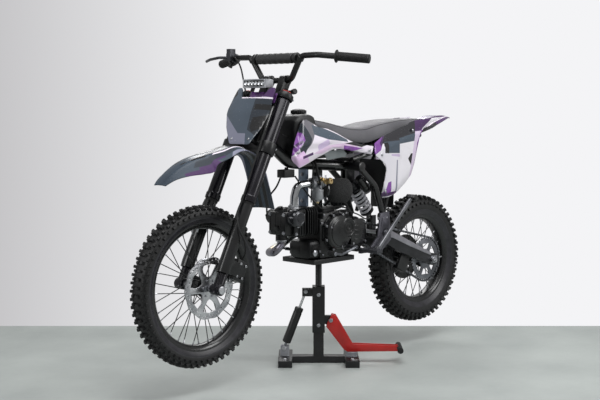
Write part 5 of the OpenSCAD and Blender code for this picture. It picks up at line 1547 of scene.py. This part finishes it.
for k in range(3):
    head.append(block("rib", (206, -38 + 28 * k, 530), (216, -34 + 28 * k, 606), "engineBlack", 1.2))
assemble("cylinderHead", head, "chassis", "engine_black", "cylinder_head", angle=40)
headBolts = (ringOf(174, 588, 74.4, 28, 3, 0.9, leftWay, 0.6)
             + ringOf(174, 588, -71, 24.4, 3, 0.85, rightWay, 0.2)
             + [((214.6, y, z), (1, 0, 0), 1.0) for y, z in ((36, 534), (-36, 534), (36, 602), (-36, 602))]
             + [((165, y, z), (0, 1 if y > 0 else -1, 0), 0.9) for y, z in ((53.8, 528), (-53.8, 528))])
fasten("headBolts", hexBolt, headBolts)
plugAt, plugWay = point(136, -53, 566), Vector((0.25, -1, 0.12))
plug = [lathe("plug", [(0, 0), (6, 0), (6, 12), (10, 12.4), (10, 19), (6.5, 20), (5, 22), (5, 34), (0, 34)], "bolt",
              facing(plugAt, plugWay), 6),
        lathe("boot", [(0, 26), (8.4, 26), (9, 28), (8, 46), (9.4, 48), (9.4, 54), (6, 58), (0, 58)], "rubber",
              facing(plugAt, plugWay), 20)]
assemble("sparkPlug", plug, "chassis", "bolt_steel")
print("engine made")

# intake, exhaust, wires
intakeRoute = rounded([point(145, 20, 629.3), point(143, 21, 665.3), point(132, 24, 706), point(84, 30, 712),
                       point(56.4, 30, 712)], 0.03, 10)
flangeShape = [(-21 * c - 6 * s, 15 * s) for c, s in [polar(1, k * math.pi / 12) for k in range(24)]]
intake = [tube("pipe", intakeRoute, 15, "chrome", 32),
          plate("flange", [flangeShape, circle(0, 0, 11)], 6, "castAlloy", shift(145, 20, 630.4), edge=1),
          lathe("end", [(14, 56.4), (20, 56.4), (21, 57.4), (21, 62), (20, 63), (14, 63)], "castAlloy",
                facing(point(0, 30, 712), (1, 0, 0)), 40, ring=True)]
assemble("intakePipe", intake, "chassis", "bright_pipe", "intake_pipe", angle=50)
fasten("intakeBolts", capBolt, [((145 + dx, 20, 633.2), (0, 0, 1), 1) for dx in (-17, 17)]
             + [((63, 30, 712 + dz), (1, 0, 0), 0.9) for dz in (-17, 17)])

carbPlace, carbStand = facing(point(0, 30, 712), (1, 0, 0)), shift(26, 30, 0)
carb = [lathe("throat", [(0, -2), (20, -2), (20, 6), (17, 9), (17, 44), (20, 48), (20, 56), (0, 56)], "castAlloy",
              carbPlace, 40),
        lathe("slide", [(0, 676), (18, 676), (18, 738), (17, 740), (0, 740)], "castAlloy", carbStand, 40),
        lathe("cap", [(0, 740), (18, 740), (18, 749), (15, 752), (6, 752), (5, 760), (0, 760)], "plasticBlack",
              carbStand, 20),
        lathe("bowl", [(0, 640), (9, 640), (10, 646), (21, 648), (23, 651), (23, 680), (24.4, 681), (24.4, 686),
                       (0, 686)], "castAlloy", carbStand, 40),
        lathe("drain", [(0, 634), (6, 634), (6, 642), (0, 642)], "brass", carbStand, 6),
        lathe("jet", [(0, 14), (8, 14), (8, 22), (6, 23), (6, 33), (4, 34), (0, 34)], "brass",
              facing(point(26, 30, 726), leftWay), 18),
        lathe("choke", [(0, 14), (12, 14), (13, 16), (13, 22), (11, 23), (11, 34), (12.4, 35), (12.4, 42), (11, 44),
                        (4, 44), (4, 40), (0, 40)], "brass", facing(point(0, 30, 716), (-0.15, 1, 0.1)), 24),
        block("arm", (-1, 50, 700), (6, 53, 742), "bolt", 1),
        lathe("idle", [(0, 14), (5, 14), (5, 30), (0, 30)], "bolt", facing(point(38, 30, 700), leftWay), 8)]
assemble("carburetor", carb, "chassis", "cast_alloy", "carburetor", angle=40)
fasten("carbScrews", panScrew, [((26 + dx, 30 + dy, 681), (0, 0, -1), 0.7) for dx in (-16, 16) for dy in (-15, 15)])

filterShape = [(-2.6, 40, 19), (-16, 42, 19.6), (-22, 44, 22), (-28, 46, 27), (-38, 48, 31), (-70, 50, 33),
               (-96, 51.6, 33.4), (-112, 52, 32), (-122, 52, 27.4), (-128.6, 52, 20), (-132, 52, 10), (-133, 52, 0.6)]
filterRoute = [point(x, y, 683 + (x + 2) * 0.055) for x, y, r in filterShape]
foamPiece = tube("airFilter", filterRoute, [r for x, y, r in filterShape], "foam", 40, flat=1.44)
foamPiece = settle(foamPiece, "chassis", "foam_black", "air_filter", angle=70)
band = tube("band", [point(-7, 41, 684), point(-13, 41.8, 684)], 20.4, "frameBlack", 40, flat=1.44)
settle(band, "chassis", "bolt_steel")

muffFrom, muffTo = point(-236, -150, 600), point(-470, -150, 668)
muffWay, muffLong = (muffTo - muffFrom).normalized(), (muffTo - muffFrom).length * 1000
onMuff = facing(muffFrom, muffWay)
headerRoute = rounded([point(192, 0, 486), point(224, -2, 460), point(186, -72, 450), point(60, -122, 470),
                       point(-60, -132, 520), muffFrom - muffWay * 0.04, muffFrom - muffWay * 0.0003], 0.04, 10)
header = [tube("pipe", headerRoute, 15, "header", 36),
          lathe("stub", [(0, 482), (15.6, 482), (15.6, 500), (0, 500)], "header", shift(190, 0, 0), 36),
          lathe("flange", [(15, 499.8), (21.4, 499.8), (22, 500.6), (22, 505), (21.4, 505.6), (15, 505.6)],
                "castAlloy", shift(190, 0, 0), 40, ring=True),
          lathe("joint", [(15, -34), (17.4, -34), (18, -32), (18, -14), (17.4, -12), (15, -12)], "steel", onMuff, 36,
                ring=True)]
assemble("exhaustHeader", header, "chassis", "bright_pipe", "exhaust_header", angle=50)
fasten("flangeNuts", hexBolt, [((190, y, 499.6), (0, 0, -1), 0.8) for y in (-18.6, 18.6)])
can = [lathe("can", [(0, 0.4), (19, 0.4), (20, 1.6), (20, 22), (22, 24.4), (28, 25), (33, 28), (34, 33), (34, 40),
                     (33.2, 41.4), (33.2, 44), (34, 45), (34, muffLong - 24), (33.2, muffLong - 23),
                     (33.2, muffLong - 20), (34, muffLong - 18), (33.6, muffLong - 8), (30, muffLong - 2),
                     (24, muffLong), (17.4, muffLong + 1), (16.5, muffLong + 2.4), (16.5, muffLong + 25),
                     (15.8, muffLong + 26), (14.6, muffLong + 26), (14, muffLong + 25), (14, muffLong - 18),
                     (0, muffLong - 19)],
             "muffler", onMuff, 72),
       tube("strap", [point(-330, -122, 627), point(-330, -84.2, 627)], 7, "muffler", 20)]
can += [lathe("band", [(33.8, 104), (35.2, 104.4), (35.2, 117.6), (33.8, 118)], "steel", onMuff, 72, ring=True)]
assemble("mufflerCan", can, "chassis", "muffler_black", "muffler", angle=40)
rivets = []
for k in range(10):
    turned = onMuff @ Matrix.Rotation(2 * math.pi * k / 10, 4, "Z")
    way = tuple(turned.to_3x3() @ Vector((1, 0, 0)))
    rivets += [(spotOn(turned, point(33.8, 0, h)), way, 0.6) for h in (50, muffLong - 29)]
fasten("mufflerRivets", panScrew, rivets)

wires = {
    "plugLead": (3.4, [(142, -104, 572), (146, -122, 590), (150, -112, 650), (156, -60, 700), (166, -21, 750)]),
    "throttleCable": (2.6, [(26, 30, 758), (30, 31, 776), (60, 26, 800), (120, 26, 850), (180, 30, 884),
                            (214, 26, 900)]),
    "fuelHose": (4.2, [(44, 20, 806), (50, 44, 786), (54, 58, 752), (40, 56, 722), (30, 49, 700), (28, 44, 690)]),
    "breather": (5, [(-36, 10, 619), (-60, 22, 640), (-110, 26, 634), (-150, 26, 610), (-168, 30, 572)]),
    "loomLeft": (3.2, [(-150, 60, 560), (-120, 58, 604), (-60, 44, 616), (10, 50, 612), (60, 62, 632), (96, 40, 680),
                       (130, 12, 742)]),
    "loomLow": (2.6, [(-30, 62, 592), (-60, 66, 604), (-110, 60, 598), (-170, 64, 580), (-214, 74, 560),
                      (-240, 78, 600), (-236, 76, 680)]),
    "brakeWire": (2.4, [(60, 30, 640), (74, 44, 676), (70, 46, 730), (60, 40, 790)]),
}
cords = []
for name, (r, spots) in wires.items():
    route = curved([point(*s) for s in spots], 8)
    cords.append(tube(name, route, r, "rubber", 12))
    print("cord", name, round(sum((b - a).length for a, b in zip(route, route[1:])) * 1000), "mm long")
assemble("wiring", cords, "chassis", "hose_rubber", angle=60)
refit("ignition_coil", "ignitionCoil", "plasticBlack", "chassis", "black_plastic", 0.003, 3)
refit("rear_brake_caliper", "rearCaliper", "coverBlack", "chassis", "caliper_black", 0.004, 3)
print("intake, exhaust and wires made")

# pegs, levers and side stand
refit("gear_lever", "gearLever", "steel", "chassis", "lever_steel", 0.001)
refit("kick_starter", "kickStarter", "steel", "chassis", "lever_steel")
refit("foot_pegs", "footPegs", "pegSteel", "chassis", "lever_steel")
refit("brake_pedal", "brakePedal", "steel", "chassis", "lever_steel", 0.001)
tooth = template(lathe("tooth", [(0, 0), (2.4, 0), (0.9, 5), (0, 5)], "pegSteel", steps=4))
teeth = [shift(x, side * (104 + k * 8.4), 447.8) for side in sides for k in range(10) for x in (-177, -149)]
settle(scatter("pegTeeth", tooth, teeth, "pegSteel"), "chassis", "lever_steel")
rubberEnds = [lathe("toe", [(0, 0), (9.6, 0), (10.4, 2), (10.4, 30), (9.6, 32), (0, 32)], "rubber",
                    facing(point(52, 117, 452), leftWay), 24),
              lathe("kick", [(0, 0), (9.8, 0), (10.6, 2), (10.6, 44), (9.8, 46), (0, 46)], "rubber",
                    facing(point(-170, -130, 660), rightWay), 24)]
assemble("leverRubbers", rubberEnds, "chassis", "grip_rubber")
stand = tint(softened("side_stand", "sideStand", "standMetal", 0.0012), "frameBlack",
             lambda c: math.hypot(c.x + 0.222, c.z - 0.441) > 0.262)
settle(stand, "side_stand", "stand_black", "side_stand")
print("levers and stand made")


# lift stand
base = tint(softened("lift_base", "liftBase", "liftBlack", 0.0016), "liftGrey",
            lambda c: c.z > 0.0275 and abs((liftSpace.inverted() @ c).y) > 0.1)
settle(base, "chassis", "lift_black", "lift_base")
refit("lift_sleeve", "liftSleeve", "liftBlack", "chassis", "lift_black", 0.0014)
lever = tint(softened("lift_lever", "liftLever", "liftRed", 0.0011), "rubber",
             lambda c: (liftSpace.inverted() @ c).y > 0.3065)
settle(lever, "chassis", "lift_red", "lift_lever")
damperLow, damperHigh = liftSpace @ point(0, -135, 56), liftSpace @ point(0, -50.3, 281)
damperWay, damperLong = (damperHigh - damperLow).normalized(), (damperHigh - damperLow).length * 1000
onDamper = facing(damperLow, damperWay)
across = liftSpace.to_3x3() @ Vector((1, 0, 0))
damper = [lathe("rodLow", [(0, 0), (5, 0), (5, 26), (0, 26)], "steel", onDamper, 20),
          lathe("body", [(0, 24), (14, 24), (16.4, 26), (17, 29), (17, 150), (16.2, 152), (16.2, 156), (17, 158),
                         (17, 168), (15.6, 171), (12, 172), (0, 172)], "liftBlack", onDamper, 40),
          lathe("rodTop", [(0, 170), (5, 170), (5, damperLong), (0, damperLong)], "chrome", onDamper, 20)]
for at in (damperLow, damperHigh):
    damper.append(lathe("eye", [(0, -6), (10, -6), (11, -5), (11, 5), (10, 6), (0, 6)], "steel", facing(at, across),
                        32))
assemble("liftDamper", damper, "chassis", "arm_grey", "lift_damper")
liftBolts = []
for side in sides:
    way = tuple(across * side)
    for at, out in (((0, -135, 56), 14.4), ((0, -50.3, 281), 14.4), ((0, 48, 168), 16.4)):
        liftBolts.append((spotOn(liftSpace, point(*at) + point(side * out, 0, 0)), way, 1.1))
liftBolts += [(spotOn(liftSpace, point(x, y, 27)), (0, 0, 1), 1.2) for x in (-84, 84) for y in (-130, 130)]
liftBolts += [(spotOn(liftSpace, point(24.4, 0, z)), tuple(across), 1.0) for z in (150, 270)]
fasten("liftBolts", hexBolt, liftBolts)
print("lift made")


# everything else
for name, node in frame["nodes"].items():
    if not node.hide_render and name not in ("front_hub", "rear_hub"):
        repaint(node, "frameBlack")


# floor, light
def stageFinish():
    material, shader, place = newFinish("paleFloor")
    cloud = place.noise(3, 6).between(0.3, 0.7)
    fine = place.noise(40, 4)
    feed(shader, baseColor=cloud.mix(paint("a4aaa8"), paint("b6bcb9")), roughness=fine * 0.2 + 0.45,
         normal=bumped(fine, 0.05, 0.002))
    return material


stageSettings = {"reach": 0.75, "dim": "bcbbbd", "bright": "f4f4f6", "world": 0.22, "mirror": 0.4, "top": 85,
                 "side": 42, "front": 34, "back": 30}
finishes["floor"] = stageFinish()
ahead = Vector((forward.x, forward.y, 0)).normalized()
across = Vector((ahead.y, -ahead.x, 0))
far = ahead * stageSettings["reach"]
corners = [far - across * 6, far + across * 6, far + across * 6 - ahead * 9, far - across * 6 - ahead * 9]
floor = meshFrom("floor", corners, [(0, 1, 2, 3)], "floor")
floor.data.update()
if floor.data.polygons[0].normal.z < 0:
    floor.data.flip_normals()

world = bpy.data.worlds.new("studio")
scene.world = world
world.use_nodes = True
sky = world.node_tree
rays = sky.nodes.new("ShaderNodeLightPath")
background = sky.nodes["Background"]
ray = Wire(sky, sky.nodes.new("ShaderNodeTexCoord").outputs["Generated"])
rightward = ray.part("x") * across.x + ray.part("y") * across.y
edges = rightward.between(-0.3, -0.04).maths("MAXIMUM", 1 - rightward.between(-0.62, -0.34))
glow = edges.mix(paint(stageSettings["dim"]), paint(stageSettings["bright"]))
plain, shiny = [(stageSettings[key],) * 3 + (1,) for key in ("world", "mirror")]
reflected = Wire(sky, rays.outputs["Is Glossy Ray"]).mix(plain, shiny)
colour = Wire(sky, rays.outputs["Is Camera Ray"]).mix(reflected, glow)
sky.links.new(colour.socket, background.inputs["Color"])
background.inputs["Strength"].default_value = 1


def lamp(name, at, size, power, target=(0, 0, 0.6)):
    data = bpy.data.lights.new(name, "AREA")
    data.shape = "RECTANGLE"
    data.size, data.size_y = size
    data.energy = power
    made = bpy.data.objects.new(name, data)
    made.location = at
    made.rotation_euler = (Vector(target) - Vector(at)).to_track_quat("-Z", "Y").to_euler()
    scene.collection.objects.link(made)


lamp("topLight", (0.3, 0.9, 3.3), (3.2, 2.0), stageSettings["top"])
lamp("sideLight", (-1.7, 3.0, 2.0), (1.0, 2.0), stageSettings["side"])
lamp("frontLight", (3.6, -0.8, 1.9), (1.4, 1.8), stageSettings["front"])
lamp("backLight", (-2.0, -2.2, 2.6), (2.0, 1.2), stageSettings["back"])
print("stage made")
